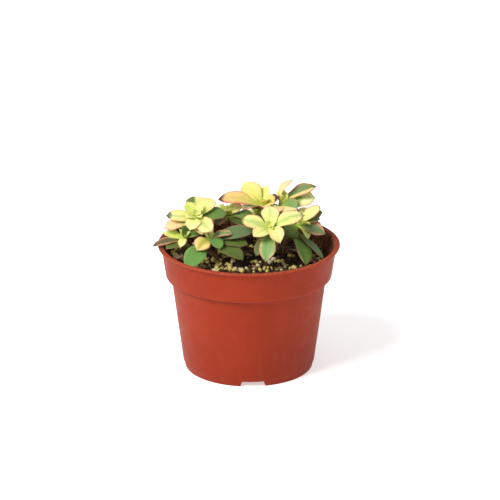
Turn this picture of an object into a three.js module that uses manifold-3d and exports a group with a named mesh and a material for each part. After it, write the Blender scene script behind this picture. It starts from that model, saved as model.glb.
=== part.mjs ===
// A kiwi aeonium in a 6 inch nursery pot: a thin moulded pot with a wide collar, potting soil, and eleven
// shoots, each a brown stem with a rosette of spoon-shaped leaves on it.
// Millimetres, +Z up. The origin is the centre of the pot's base. -Y is the side that a viewer faces.
import * as THREE from 'three';
import { mergeVertices } from 'three/addons/utils/BufferGeometryUtils.js';
import Module from 'manifold-3d';

const wasm = await Module();
wasm.setup();

// Driving dimensions of the pot
const POT_HEIGHT = 108;
const RIM_RADIUS = 76.2;
const WALL = 1.4;
const EDGE_ROUNDING = 0.4;
const CORNER_ROUNDING = 0.8;
const LIP_HEIGHT = 1.6;
const LIP_REACH = 2.8;
const COLLAR_TOP_RADIUS = RIM_RADIUS - LIP_REACH;
const COLLAR_LOW_RADIUS = 69.9;
const COLLAR_LOW = 80.5;
const BODY_TOP_RADIUS = 65.3;
const BODY_LOW_RADIUS = 55.6;
const FOOT_HEIGHT = 5;
const FOOT_TOP_RADIUS = 54.9;
const FOOT_RADIUS = 54;
const CHANNEL_HEIGHT = 4.5;
const CHANNEL_INNER_RADIUS = 34;
const CHANNEL_SLOPE = 4;
const FLOOR = 1.6;
const DRAIN_HOLES = 6;
const DRAIN_HOLE_RADIUS = 4.5;
const NOTCHES = 3;
const NOTCH_WIDTH = 20;
const NOTCH_HEIGHT = 4.2;
const NOTCH_AZIMUTH = -86;
const POT_SIDES = 48;

// Driving dimensions of the soil and of the plant
const GAP = 0.3;
const SOIL_LEVEL = 91;
const SOIL_MOUND = 2.5;
const SOIL_ROUGHNESS = 1.2;
const SOIL_SIDES = 32;
const STEM_DEPTH = 14;
const STEM_SIDES = 8;
const STEM_TO_CORE = 0.7;
const CORE_TOP = 2;
const CORE_BELOW_LEAVES = 2.5;
const LEAF_THICKNESS = 2.2;
const TIP_THINNING = 0.45;
const EDGE_THICKNESS = 0.9;
const GOLDEN_ANGLE = 137.5;
const CHIP_LENGTH = 13;
const CHIP_WIDTH = 10;
const CHIP_THICKNESS = 3;
const CHIP_TILT = 20;
const CHIP_PLACE = [-58, -4];
const CHIP_SEAT = 2.35;

// How close two points lie when they are taken as one, and how small a leftover sliver is when it is dropped
const SAME_POINT = 1e-5;
const SLIVER = 0.03;

const POT_COLOUR = 0xb4462a;
const SOIL_COLOUR = 0x2b211b;
const STEM_COLOUR = 0x7a5a40;
const BARK_COLOUR = 0x8a6250;
const YELLOW_LEAF = 0xe4de86;
const GREEN_LEAF = 0x7f9f58;

const radians = THREE.MathUtils.degToRad;
const up = new THREE.Vector3(0, 0, 1);

// Solids: a closed three.js geometry becomes a solid that can be joined or cut, and turns back.
function solid(geometry) {
  const bare = geometry.index ? geometry.clone() : geometry;
  bare.deleteAttribute('normal');
  bare.deleteAttribute('uv');
  const merged = mergeVertices(bare, SAME_POINT);
  const mesh = new wasm.Mesh({
    numProp: 3,
    vertProperties: new Float32Array(merged.attributes.position.array),
    triVerts: new Uint32Array(merged.index.array),
  });
  return new wasm.Manifold(mesh);
}

function geometryOf(body) {
  const mesh = body.getMesh();
  const geometry = new THREE.BufferGeometry();
  geometry.setAttribute('position', new THREE.BufferAttribute(new Float32Array(mesh.vertProperties), 3));
  geometry.setIndex(Array.from(mesh.triVerts));
  return geometry;
}

// Joins solids, then drops the slivers that are left where their faces cross.
function join(solids) {
  return solids.reduce((sum, next) => sum.add(next)).asOriginal().simplify(SLIVER);
}

function piece(name, geometry, colour, roughness) {
  const material = new THREE.MeshStandardMaterial({ color: colour, roughness, metalness: 0 });
  const mesh = new THREE.Mesh(geometry, material);
  mesh.name = name;
  return mesh;
}

// A profile of [radius, height] points turned about the Z axis.
function turned(points, sides) {
  const profile = points.map(([r, z]) => new THREE.Vector2(r, z));
  return new THREE.LatheGeometry(profile, sides).rotateX(Math.PI / 2);
}

// A round bar from one height to another, standing at x, y.
function bar(x, y, radius, low, high, sides) {
  const geometry = new THREE.CylinderGeometry(radius, radius, high - low, sides);
  return solid(geometry.rotateX(Math.PI / 2).translate(x, y, (low + high) / 2));
}

// Pot: one moulded wall, turned, then cut by the drain holes and by the notches in its foot.
function potWallProfile() {
  const lipLow = POT_HEIGHT - LIP_HEIGHT;
  const innerLedge = COLLAR_LOW + WALL;
  const outside = [
    [0, 0],
    [CHANNEL_INNER_RADIUS - CHANNEL_SLOPE, 0],
    [CHANNEL_INNER_RADIUS, CHANNEL_HEIGHT],
    [FOOT_RADIUS - WALL, CHANNEL_HEIGHT],
    [FOOT_RADIUS - WALL, 0],
    [FOOT_RADIUS, 0],
    [FOOT_TOP_RADIUS, FOOT_HEIGHT],
    [BODY_LOW_RADIUS, FOOT_HEIGHT + EDGE_ROUNDING],
    [BODY_TOP_RADIUS, COLLAR_LOW],
    [COLLAR_LOW_RADIUS - CORNER_ROUNDING, COLLAR_LOW],
    [COLLAR_LOW_RADIUS, COLLAR_LOW + CORNER_ROUNDING],
    [COLLAR_TOP_RADIUS, lipLow],
    [RIM_RADIUS, lipLow + EDGE_ROUNDING / 2],
    [RIM_RADIUS, POT_HEIGHT - EDGE_ROUNDING],
    [RIM_RADIUS - EDGE_ROUNDING, POT_HEIGHT],
  ];
  const inside = [
    [COLLAR_TOP_RADIUS - WALL + EDGE_ROUNDING, POT_HEIGHT],
    [COLLAR_TOP_RADIUS - WALL, POT_HEIGHT - EDGE_ROUNDING],
    [COLLAR_LOW_RADIUS - WALL, innerLedge + CORNER_ROUNDING],
    [COLLAR_LOW_RADIUS - WALL - CORNER_ROUNDING, innerLedge],
    [BODY_TOP_RADIUS - WALL, innerLedge],
    [BODY_LOW_RADIUS - WALL, CHANNEL_HEIGHT + FLOOR],
    [CHANNEL_INNER_RADIUS - EDGE_ROUNDING, CHANNEL_HEIGHT + FLOOR],
    [CHANNEL_INNER_RADIUS - CHANNEL_SLOPE - EDGE_ROUNDING, FLOOR],
    [0, FLOOR],
  ];
  return [...outside, ...inside];
}

function pot() {
  const channelMiddle = (CHANNEL_INNER_RADIUS + FOOT_RADIUS - WALL) / 2;
  let body = solid(turned(potWallProfile(), POT_SIDES));
  for (let i = 0; i < DRAIN_HOLES; i += 1) {
    const turn = radians(NOTCH_AZIMUTH + (i + 0.5) * (360 / DRAIN_HOLES));
    const x = channelMiddle * Math.cos(turn);
    const y = channelMiddle * Math.sin(turn);
    body = body.subtract(bar(x, y, DRAIN_HOLE_RADIUS, FLOOR, CHANNEL_HEIGHT + 2 * FLOOR, 12));
  }
  for (let i = 0; i < NOTCHES; i += 1) {
    const notch = new THREE.BoxGeometry(3 * WALL, NOTCH_WIDTH, 2 * NOTCH_HEIGHT);
    notch.translate(FOOT_RADIUS - WALL / 2, 0, 0).rotateZ(radians(NOTCH_AZIMUTH + (i * 360) / NOTCHES));
    body = body.subtract(solid(notch));
  }
  return piece('pot', geometryOf(body), POT_COLOUR, 0.5);
}

// Leaves. A rosette is a short core with leaves on it. Its centre is the top of the core, and its axis leans
// by `lean` degrees towards the compass direction `towards`, counted from +X to +Y. Each leaf row is
// [tip x, tip y, tip z, width, arch, cup, roll, drop]: arch is how high the midrib bows above the straight
// line to the tip and cup how high the edges stand above the midrib, as shares of the length and of the half
// width; roll turns the blade about its length, in degrees; drop is how far below the centre it is rooted.
const ROSETTES = [
  {
    name: 'left', centre: [-43, 3, 130], towards: 270, lean: 30, core: 3.4, foot: [-38, 14],
    colour: YELLOW_LEAF, inner: 5, phase: 20,
    leaves: [
      [-31, 22, 140, 16, 0.1, 0.15, 0, 1.5],
      [-46, 29, 139, 16, 0.1, 0.15, 0, 4],
      [-53, 12, 139, 11, 0.05, 0.25, 0, 1],
      [-69, 4, 131, 13, 0.04, 0.2, 0, 3],
      [-71, -2, 122, 12, 0.06, 0.2, 0, 5],
      [-49, -13, 124.5, 13, 0.15, 0.2, 0, 1.5],
      [-39, -12, 120, 12, 0.15, 0.2, 0, 6],
      [-30, -18, 124, 14, 0.15, 0.2, 20, 4],
      [-19, 12, 131, 14, 0.1, 0.15, 0, 5],
      [-58, 31, 122, 13, 0.1, 0.15, 0, 6],
      [-36, 34, 122, 13, 0.1, 0.15, 0, 6],
      [-61, 18, 119, 12, 0.1, 0.15, 0, 7.5],
    ],
  },
  {
    name: 'left_low', centre: [-53, -6, 114], towards: 270, lean: 20, core: 2.4, foot: [-48, 2],
    colour: YELLOW_LEAF, inner: 2, phase: 10,
    leaves: [
      [-71, 1, 117, 11, 0.06, 0.2, 0, 1.5],
      [-55, -9, 126.5, 8, 0.05, 0.2, 0, 1],
      [-57, -18, 111, 7, 0.2, 0.25, 0, 1],
      [-40, -5, 118.5, 8, 0.15, 0.2, 0, 1],
      [-69, -17, 109, 8, 0.1, 0.2, 0, 5],
      [-80, -12, 110, 9, 0.12, 0.2, 0, 4],
    ],
  },
  {
    name: 'middle_low', centre: [-33, -7, 113], towards: 300, lean: 25, core: 2.8, foot: [-26, -4],
    colour: GREEN_LEAF, inner: 3, phase: 60,
    leaves: [
      [-52, -33, 98.5, 17, 0.12, 0.1, 0, 4],
      [-43, -22, 109.5, 14, 0.22, 0.15, 0, 0.5],
      [-24, -25, 112, 12, 0.2, 0.15, 0, 0.5],
      [-5, -30, 104.5, 17, 0.1, 0.15, 0, 5],
      [-14, -12, 121, 9, 0.16, 0.2, 0, 2],
      [4, -6, 121, 16, 0.1, 0.12, 0, 3],
      [-1, -14, 112, 15, 0.1, 0.12, 0, 3.5],
    ],
  },
  {
    name: 'back_small', centre: [-17, 36, 121], towards: 270, lean: 20, core: 2.4, foot: [-15, 38],
    colour: YELLOW_LEAF, inner: 4, phase: 120,
    leaves: [
      [-28, 36, 127, 12, 0.1, 0.2, 0, 2],
      [-17, 44, 126, 8, 0.1, 0.2, 0, 1],
      [-5, 30, 130, 9, 0.1, 0.2, 20, 1],
      [-29, 24, 115, 11, 0.1, 0.2, 0, 2],
      [-10, 52, 124, 10, 0.1, 0.2, 0, 3],
      [-4, 17, 118, 13, 0.1, 0.2, 0, 4],
      [4, 22, 122.5, 12, 0.1, 0.2, 0, 3],
    ],
  },
  {
    name: 'back_top', centre: [11, 31, 130], towards: 90, lean: 5, core: 3.2, foot: [8, 30],
    colour: YELLOW_LEAF, inner: 4, phase: 255,
    leaves: [
      [-4, 41, 147, 18, 0.12, 0.12, -45, 2],
      [-26, 32, 136, 14, 0.17, 0.2, -38, 2],
      [15, 40, 145, 10, 0.05, 0.25, 0, 1],
      [25, 28, 139.5, 11, 0.05, 0.2, 50, 1],
      [14, 12, 135, 13, 0.1, 0.2, 0, 4],
      [-5, 16, 132.5, 13, 0.1, 0.2, 0, 4],
      [16, 60, 128, 13, 0.1, 0.2, 0, 3],
      [-2, 56, 124, 13, 0.12, 0.15, 0, 5.5],
      [28, 52, 123, 12, 0.1, 0.15, 0, 6.5],
    ],
  },
  {
    name: 'back_right', centre: [27, 31, 133], towards: 60, lean: 10, core: 3, foot: [25, 36],
    colour: YELLOW_LEAF, inner: 3, phase: 140,
    leaves: [
      [37, 36, 152, 11, 0.2, 0.2, 10, 1],
      [30, 33, 143, 11, 0.05, 0.2, 55, 1],
      [57, 36, 146, 14, 0.05, 0.3, 30, 0],
      [56, 31, 137, 19, 0.1, 0.15, 42, 2],
      [41, 15, 133, 16, 0.15, 0.2, 45, 4.5],
      [23, 14, 130, 11, 0.15, 0.2, 0, 5],
      [40, 56, 130, 13, 0.1, 0.2, 0, 2],
      [52, 48, 126, 12, 0.12, 0.15, 0, 5],
    ],
  },
  {
    name: 'front', centre: [18, -10, 124], towards: 270, lean: 30, core: 3.6, foot: [16, 2],
    colour: YELLOW_LEAF, inner: 4, phase: 10,
    leaves: [
      [18, 11, 137, 15, 0.08, 0.15, 0, 2],
      [-6, -6, 131, 15, 0.08, 0.2, 0, 2],
      [4, -28, 124, 13, 0.1, 0.2, 0, 3],
      [46, -6, 135, 15, 0.15, 0.2, 0, 2],
      [26, -27, 118, 13, 0.3, 0.3, 0, 2],
      [14, -34, 104, 14, 0.15, 0.15, 0, 4],
      [6, -28, 107, 10, 0.1, 0.15, 0, 6],
      [25, 12, 122, 11, 0.1, 0.15, 0, 6],
      [2, 8, 121, 11, 0.1, 0.15, 0, 6],
    ],
  },
  {
    name: 'right', centre: [42, 11, 121], towards: 340, lean: 35, core: 3.2, foot: [30, 14],
    colour: GREEN_LEAF, inner: 4, phase: 50,
    leaves: [
      [60, 16, 135, 10, 0.08, 0.3, 0, 1],
      [64, 6, 114, 13, 0.08, 0.3, 25, 3],
      [50, 0, 112, 9, 0.1, 0.2, 0, 2],
      [31, 0, 115, 15, 0.1, 0.15, 0, 3],
      [48, -19, 96, 17, 0.1, 0.15, 0, 12],
      [62, -10, 98, 10, 0.02, 0.25, 0, 7],
      [60, 14, 125, 9, 0.1, 0.2, 0, 3],
      [56, 30, 119, 12, 0.1, 0.15, 0, 4],
      [36, 32, 115, 12, 0.1, 0.15, 0, 5],
    ],
  },
  {
    name: 'rear_left', centre: [-40, 42, 113], towards: 120, lean: 20, core: 2.8, foot: [-36, 40],
    colour: YELLOW_LEAF, inner: 4, phase: 50,
    leaves: [
      [-62, 34, 112, 12, 0.1, 0.2, 0, 3],
      [-56, 52, 118, 12, 0.1, 0.2, 0, 2],
      [-36, 64, 117, 13, 0.1, 0.2, 0, 2],
      [-25, 54, 112, 12, 0.1, 0.2, 0, 3],
      [-50, 24, 110, 12, 0.1, 0.2, 0, 3],
      [-24, 38, 109, 11, 0.1, 0.2, 0, 4],
    ],
  },
  {
    name: 'rear_right', centre: [45, 42, 114], towards: 60, lean: 20, core: 2.8, foot: [43, 38],
    colour: GREEN_LEAF, inner: 4, phase: 50,
    leaves: [
      [62, 34, 123.5, 13, 0.1, 0.2, 80, 2],
      [61, 44, 110, 12, 0.1, 0.2, 0, 3],
      [52, 60, 118, 13, 0.1, 0.2, 0, 2],
      [32, 60, 114, 12, 0.1, 0.2, 0, 3],
      [58, 24, 113, 11, 0.1, 0.2, 0, 4],
      [30, 44, 110, 11, 0.1, 0.2, 0, 4],
    ],
  },
  {
    name: 'rear', centre: [8, 54, 112], towards: 90, lean: 25, core: 2.8, foot: [8, 48],
    colour: YELLOW_LEAF, inner: 4, phase: 50,
    leaves: [
      [-10, 60, 114, 12, 0.1, 0.2, 0, 3],
      [-3, 70, 113, 12, 0.1, 0.2, 0, 2],
      [20, 68, 112, 13, 0.1, 0.2, 0, 2],
      [26, 52, 108, 12, 0.1, 0.2, 0, 3],
    ],
  },
];

// Where a leaf's cross-sections stand along its length, and the share of the full half width that a spoon
// shape has at each: a narrow root, the widest place past the middle, then a short curve to the tip.
const LEAF_STATIONS = [0, 0.22, 0.45, 0.66, 0.87, 1];
const YOUNG_STATIONS = [0, 0.35, 0.65, 0.88, 1];
const WIDEST = 0.62;
const ROOT_SHARE = 0.26;
const TIP_SHARE = 0.1;

function halfWidthShare(s) {
  if (s < WIDEST) {
    return ROOT_SHARE + (1 - ROOT_SHARE) * THREE.MathUtils.smoothstep(s, 0, WIDEST);
  }
  const past = (s - WIDEST) / (1 - WIDEST);
  return Math.max(TIP_SHARE, (1 - past ** 2.4) ** 0.85);
}

function axisOf(rosette) {
  const tilt = radians(rosette.lean);
  const turn = radians(rosette.towards);
  return new THREE.Vector3(
    Math.sin(tilt) * Math.cos(turn),
    Math.sin(tilt) * Math.sin(turn),
    Math.cos(tilt),
  );
}

// One leaf as a closed blade: six points around each station, three above and three below. The midrib bows by
// a sine of s to the power BOW, so it is highest a little before the middle.
const BOW = 0.9;

function leaf(centre, axis, [x, y, z, width, arch, cup, roll, drop], stations) {
  const root = centre.clone().addScaledVector(axis, -drop);
  const reach = new THREE.Vector3(x, y, z).sub(root);
  const length = reach.length();
  const along = reach.clone().normalize();
  const across = axis.clone().cross(along).normalize().applyAxisAngle(along, radians(roll));
  const rise = along.clone().cross(across);
  const positions = [];
  for (const s of stations) {
    const bow = s ** BOW * Math.PI;
    const height = arch * length * Math.sin(bow);
    const middle = root.clone().addScaledVector(reach, s).addScaledVector(rise, height);
    const slope = BOW * Math.PI * arch * Math.cos(bow) * Math.max(s, 0.05) ** (BOW - 1);
    const normal = rise.clone().addScaledVector(along, -slope).normalize();
    const half = (width / 2) * halfWidthShare(s);
    const body = LEAF_THICKNESS * (1 - TIP_THINNING * s);
    for (const [side, lift] of [
      [-1, cup * half + EDGE_THICKNESS / 2], [0, body / 2], [1, cup * half + EDGE_THICKNESS / 2],
      [1, cup * half - EDGE_THICKNESS / 2], [0, -body / 2], [-1, cup * half - EDGE_THICKNESS / 2],
    ]) {
      const point = middle.clone().addScaledVector(across, side * half).addScaledVector(normal, lift);
      positions.push(point.x, point.y, point.z);
    }
  }
  const index = [];
  for (let i = 0; i + 1 < stations.length; i += 1) {
    for (let j = 0; j < 6; j += 1) {
      const a = 6 * i + j;
      const b = 6 * i + ((j + 1) % 6);
      // The same diagonal runs on the upper and the lower face, mirrored about the midrib.
      if (j === 0 || j === 3 || j === 5) {
        index.push(a, b + 6, b, a, a + 6, b + 6);
      } else {
        index.push(a, a + 6, b, b, a + 6, b + 6);
      }
    }
  }
  const last = 6 * (stations.length - 1);
  index.push(0, 1, 5, 1, 4, 5, 1, 2, 4, 2, 3, 4);
  index.push(last, last + 5, last + 1, last + 1, last + 5, last + 4);
  index.push(last + 1, last + 4, last + 2, last + 2, last + 4, last + 3);
  const geometry = new THREE.BufferGeometry();
  geometry.setAttribute('position', new THREE.Float32BufferAttribute(positions, 3));
  geometry.setIndex(index);
  return solid(geometry);
}

// The young leaves in the middle: each turned by the golden angle, steeper and shorter towards the centre.
function innerLeaf(centre, axis, turn, order) {
  const lift = radians(66 - 8 * order);
  const length = 8 + 1.3 * order;
  const tilt = new THREE.Quaternion().setFromUnitVectors(up, axis);
  const flat = Math.cos(lift);
  const tip = new THREE.Vector3(flat * Math.cos(turn), flat * Math.sin(turn), Math.sin(lift));
  tip.applyQuaternion(tilt).multiplyScalar(length).add(centre);
  return leaf(centre, axis, [tip.x, tip.y, tip.z, 5 + 0.5 * order, 0.02, 0.3, 0, 0.5], YOUNG_STATIONS);
}

// How far the core reaches below the centre: past its lowest leaf root.
function coreDepth(rosette) {
  return Math.max(...rosette.leaves.map((row) => row[7])) + CORE_BELOW_LEAVES;
}

function rosetteMesh(rosette) {
  const centre = new THREE.Vector3(...rosette.centre);
  const axis = axisOf(rosette);
  const height = CORE_TOP + coreDepth(rosette);
  const core = new THREE.CylinderGeometry(0.6 * rosette.core, 0.85 * rosette.core, height, 8);
  core.rotateX(Math.PI / 2).translate(0, 0, CORE_TOP - height / 2);
  core.applyQuaternion(new THREE.Quaternion().setFromUnitVectors(up, axis)).translate(...rosette.centre);
  const parts = [solid(core)];
  for (const row of rosette.leaves) {
    parts.push(leaf(centre, axis, row, LEAF_STATIONS));
  }
  for (let i = 0; i < rosette.inner; i += 1) {
    parts.push(innerLeaf(centre, axis, radians(rosette.phase + GOLDEN_ANGLE * i), i));
  }
  return piece(`rosette_${rosette.name}`, geometryOf(join(parts)), rosette.colour, 0.45);
}

// A stem leaves its hole in the soil upright and bends to meet the core along the rosette's axis.
function stemMesh(rosette) {
  const [x, y] = rosette.foot;
  const axis = axisOf(rosette);
  const base = new THREE.Vector3(x, y, SOIL_LEVEL - STEM_DEPTH);
  const collar = new THREE.Vector3(x, y, SOIL_LEVEL + SOIL_MOUND);
  const top = new THREE.Vector3(...rosette.centre).addScaledVector(axis, -coreDepth(rosette) - GAP);
  const stretch = collar.distanceTo(top) / 2.5;
  const route = new THREE.CurvePath();
  route.add(new THREE.LineCurve3(base, collar));
  route.add(new THREE.CubicBezierCurve3(
    collar,
    collar.clone().addScaledVector(up, stretch),
    top.clone().addScaledVector(axis, -stretch),
    top,
  ));
  const section = new THREE.Shape();
  section.absarc(0, 0, stemRadius(rosette), 0, 2 * Math.PI, false);
  const options = { steps: 10, curveSegments: STEM_SIDES / 2, extrudePath: route, bevelEnabled: false };
  const geometry = new THREE.ExtrudeGeometry(section, options);
  return piece(`stem_${rosette.name}`, geometryOf(solid(geometry)), STEM_COLOUR, 0.9);
}

function stemRadius(rosette) {
  return STEM_TO_CORE * rosette.core;
}

// Soil: it fills the pot to a low mound, and its top is uneven with clods and grains.
function soilTop(x, y) {
  const share = Math.hypot(x, y) / COLLAR_LOW_RADIUS;
  const clods = Math.sin(0.31 * x + 1.3) * Math.cos(0.27 * y - 0.4) + 0.6 * Math.sin(0.83 * x + 0.55 * y);
  return SOIL_LEVEL + SOIL_MOUND * (1 - share * share) + 0.4 * SOIL_ROUGHNESS * clods;
}

function soil() {
  const inner = WALL + GAP;
  const collarFoot = COLLAR_LOW + WALL + CORNER_ROUNDING;
  const collarSlope = (COLLAR_TOP_RADIUS - COLLAR_LOW_RADIUS) / (POT_HEIGHT - collarFoot);
  const topRadius = COLLAR_LOW_RADIUS - inner + collarSlope * (SOIL_LEVEL - collarFoot) - GAP;
  const ledge = COLLAR_LOW + WALL + GAP;
  const profile = [
    [0, FLOOR + GAP],
    [CHANNEL_INNER_RADIUS - CHANNEL_SLOPE - 2, FLOOR + GAP],
    [CHANNEL_INNER_RADIUS - 2, CHANNEL_HEIGHT + FLOOR + GAP],
    [BODY_LOW_RADIUS - inner - GAP, CHANNEL_HEIGHT + FLOOR + GAP],
    [BODY_TOP_RADIUS - inner - GAP, ledge],
    [COLLAR_LOW_RADIUS - inner - 1.2, ledge],
    [topRadius, SOIL_LEVEL],
  ];
  const rings = 8;
  for (let i = 1; i <= rings; i += 1) {
    profile.push([topRadius * (1 - i / rings), SOIL_LEVEL + 1]);
  }
  const geometry = turned(profile, SOIL_SIDES);
  const points = geometry.attributes.position;
  for (let i = 0; i < points.count; i += 1) {
    if (points.getZ(i) > SOIL_LEVEL - 1) {
      points.setZ(i, soilTop(points.getX(i), points.getY(i)));
    }
  }
  let body = solid(geometry);
  for (const rosette of ROSETTES) {
    const [x, y] = rosette.foot;
    const radius = stemRadius(rosette) + 2 * GAP;
    const bottom = SOIL_LEVEL - STEM_DEPTH - GAP;
    body = body.subtract(bar(x, y, radius, bottom, SOIL_LEVEL + 4 * SOIL_MOUND, 10));
  }
  return piece('soil', geometryOf(body), SOIL_COLOUR, 1);
}

// A curled flake of bark that lies on the soil by the left edge.
function barkChip() {
  const outline = new THREE.Shape();
  outline.absellipse(0, 0, CHIP_LENGTH / 2, CHIP_WIDTH / 2, 0, 2 * Math.PI, false, 0);
  const options = { depth: CHIP_THICKNESS, curveSegments: 7, bevelEnabled: false };
  const geometry = new THREE.ExtrudeGeometry(outline, options);
  const points = geometry.attributes.position;
  for (let i = 0; i < points.count; i += 1) {
    const curl = 0.09 * points.getY(i) ** 2 + 0.5 * Math.sin(1.1 * points.getX(i));
    points.setZ(i, points.getZ(i) + curl);
  }
  const [x, y] = CHIP_PLACE;
  geometry.rotateY(radians(CHIP_TILT)).rotateZ(radians(25)).translate(x, y, soilTop(x, y) + CHIP_SEAT);
  return piece('bark_chip', geometryOf(solid(geometry)), BARK_COLOUR, 0.9);
}

const plant = new THREE.Group();
plant.add(pot(), soil(), barkChip());
for (const rosette of ROSETTES) {
  plant.add(stemMesh(rosette), rosetteMesh(rosette));
}

export default plant;
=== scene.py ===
# %% [markdown]
# A kiwi aeonium in its nursery pot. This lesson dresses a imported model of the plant: a moulded pot, a plug
# of potting mix, short woody stems and eleven rosettes of fleshy, variegated leaves. Every shape is worked
# out with numpy from the same few sizes as the model, in millimetres, and every finish is a tree of shader
# nodes. The first step loads the model as a fixed frame, so that each piece goes where the model says.

import math

import bpy
import numpy as np
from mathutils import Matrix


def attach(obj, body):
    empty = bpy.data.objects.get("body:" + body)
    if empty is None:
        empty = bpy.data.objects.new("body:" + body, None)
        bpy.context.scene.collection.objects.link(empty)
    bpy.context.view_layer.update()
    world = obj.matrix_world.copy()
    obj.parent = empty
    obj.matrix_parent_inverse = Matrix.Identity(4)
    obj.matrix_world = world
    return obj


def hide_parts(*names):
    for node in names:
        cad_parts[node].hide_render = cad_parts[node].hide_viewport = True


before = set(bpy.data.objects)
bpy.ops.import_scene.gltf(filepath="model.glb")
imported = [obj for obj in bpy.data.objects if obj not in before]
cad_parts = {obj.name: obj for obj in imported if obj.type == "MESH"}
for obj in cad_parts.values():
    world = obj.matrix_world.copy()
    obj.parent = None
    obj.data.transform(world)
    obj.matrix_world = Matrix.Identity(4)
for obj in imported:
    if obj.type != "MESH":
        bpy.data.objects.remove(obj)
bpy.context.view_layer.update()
MM = 0.001

# %% [markdown]
# The plant was photographed from a little above the rim with a long lens, so its verticals stay nearly
# parallel. A camera on a short lens close by would swell the front of the rim. A 223 mm lens at 2.6 m keeps
# the pot's ellipse as flat as in the photograph.

# %% Camera
CAMERA_DISTANCE = 2.6
CAMERA_ELEVATION = math.radians(20.3)
AIM_POINT = (0.001, 0.0, 0.1017)
FOCAL_LENGTH = 223
SENSOR_WIDTH = 36
FAR_LIMIT = 100

lens = bpy.data.cameras.new("studio_camera")
lens.lens = FOCAL_LENGTH
lens.sensor_width = SENSOR_WIDTH
lens.clip_end = FAR_LIMIT
camera = bpy.data.objects.new("studio_camera", lens)
camera.location = (
    AIM_POINT[0],
    AIM_POINT[1] - CAMERA_DISTANCE * math.cos(CAMERA_ELEVATION),
    AIM_POINT[2] + CAMERA_DISTANCE * math.sin(CAMERA_ELEVATION),
)
camera.rotation_euler = (math.pi / 2 - CAMERA_ELEVATION, 0, 0)
bpy.context.scene.collection.objects.link(camera)
bpy.context.scene.camera = camera
print("camera at", tuple(round(x, 3) for x in camera.location))

# %% [markdown]
# Product studios light a plant with one large soft source from the upper left and let white walls fill the
# rest. A sun lamp with a wide angle gives that soft source with the same strength everywhere on the floor,
# and a pale world stands for the walls. The standard view keeps the yellow of the leaves as strong as it
# is.

# %% Light
KEY_STRENGTH = 3.1
KEY_DIRECTION = (math.radians(46), 0, math.radians(-52))
KEY_SOFTNESS = math.radians(28)
KEY_COLOUR = (1.0, 0.985, 0.96)
WALL_COLOUR = (0.98, 0.99, 1.0, 1)
WALL_STRENGTH = 0.5

bpy.context.scene.view_settings.view_transform = "Standard"
key = bpy.data.lights.new("key_light", "SUN")
key.energy = KEY_STRENGTH
key.angle = KEY_SOFTNESS
key.color = KEY_COLOUR
key_light = bpy.data.objects.new("key_light", key)
key_light.rotation_euler = KEY_DIRECTION
bpy.context.scene.collection.objects.link(key_light)

studio = bpy.data.worlds.new("studio_walls")
studio.use_nodes = True
studio.node_tree.nodes["Background"].inputs["Color"].default_value = WALL_COLOUR
studio.node_tree.nodes["Background"].inputs["Strength"].default_value = WALL_STRENGTH
bpy.context.scene.world = studio
print("key light", KEY_STRENGTH, "walls", WALL_STRENGTH)

# %% [markdown]
# A material is a tree of nodes. Adding a node, setting its choices and linking its inputs takes many lines
# when they are written out, so small helpers do it: one adds any node, one does sums, one lays a colour
# over another. Colours are picked as screen values from 0 to 255 and turned into the linear light that a
# shader wants. In every finish below, the first two numbers of a span are where a mask begins and where it
# is full, and the last number of a laid colour is how strongly it shows.

# %% Node helpers
def screen(red, green, blue):
    """A screen colour as linear light: each channel over 255, less the screen's own curve."""
    channel = np.array([red, green, blue]) / 255
    linear = np.where(channel <= 0.04045, channel / 12.92, ((channel + 0.055) / 1.055) ** 2.4)
    return (*linear.tolist(), 1.0)


def feed(tree, node, inputs):
    """Fills each named input of a node with a number or a link."""
    for name, value in inputs.items():
        if isinstance(value, bpy.types.NodeSocket):
            tree.links.new(value, node.inputs[name])
        else:
            node.inputs[name].default_value = value


def add(tree, kind, inputs=None, **choices):
    """Adds a node, sets its choices and fills its inputs."""
    made = tree.nodes.new(kind)
    for name, value in choices.items():
        setattr(made, name, value)
    feed(tree, made, inputs or {})
    return made


def sums(tree, operation, first, second=0.0, third=0.0):
    """One sum, such as ADD or MULTIPLY_ADD, of up to three numbers or links."""
    return add(tree, "ShaderNodeMath", {0: first, 1: second, 2: third}, operation=operation).outputs[0]


def times(tree, product, *factors):
    """The product of two or more numbers or links."""
    for factor in factors:
        product = sums(tree, "MULTIPLY", product, factor)
    return product


def span(tree, value, low, high, start=0.0, end=1.0):
    """Turns a value that runs from low to high into one that runs smoothly from start to end."""
    inputs = {"Value": value, "From Min": low, "From Max": high, "To Min": start, "To Max": end}
    return add(tree, "ShaderNodeMapRange", inputs, interpolation_type="SMOOTHSTEP").outputs[0]


def mixed(tree, share, first, second, blend="MIX"):
    """The first colour turned into the second by share, from 0 to 1."""
    inputs = {0: share, 6: first, 7: second}
    return add(tree, "ShaderNodeMix", inputs, data_type="RGBA", blend_type=blend).outputs[2]


def laid(tree, colour, top, mask, strength):
    """A colour with another laid over it where the mask is high, as strongly as strength says."""
    return mixed(tree, times(tree, mask, strength), colour, top)


def noise(tree, where, scale, detail=3.0, roughness=0.55):
    """Cloudy noise from 0 to 1 at the given places."""
    inputs = {"Vector": where, "Scale": scale, "Detail": detail, "Roughness": roughness}
    return add(tree, "ShaderNodeTexNoise", inputs).outputs["Fac"]


def stretched(tree, where, *scales):
    """Places scaled along x, y and z, so that a noise read there is drawn out along the smallest scale."""
    return add(tree, "ShaderNodeMapping", {"Vector": where, "Scale": scales}).outputs["Vector"]


def painted(tree, name):
    """What an attribute painted on the piece gives: a colour, its brightness as Fac, and an alpha."""
    return add(tree, "ShaderNodeAttribute", attribute_name=name).outputs


def channels(tree, name):
    """The red, green and blue of a painted attribute, each as a number."""
    return add(tree, "ShaderNodeSeparateColor", {"Color": painted(tree, name)["Color"]}).outputs


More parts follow.
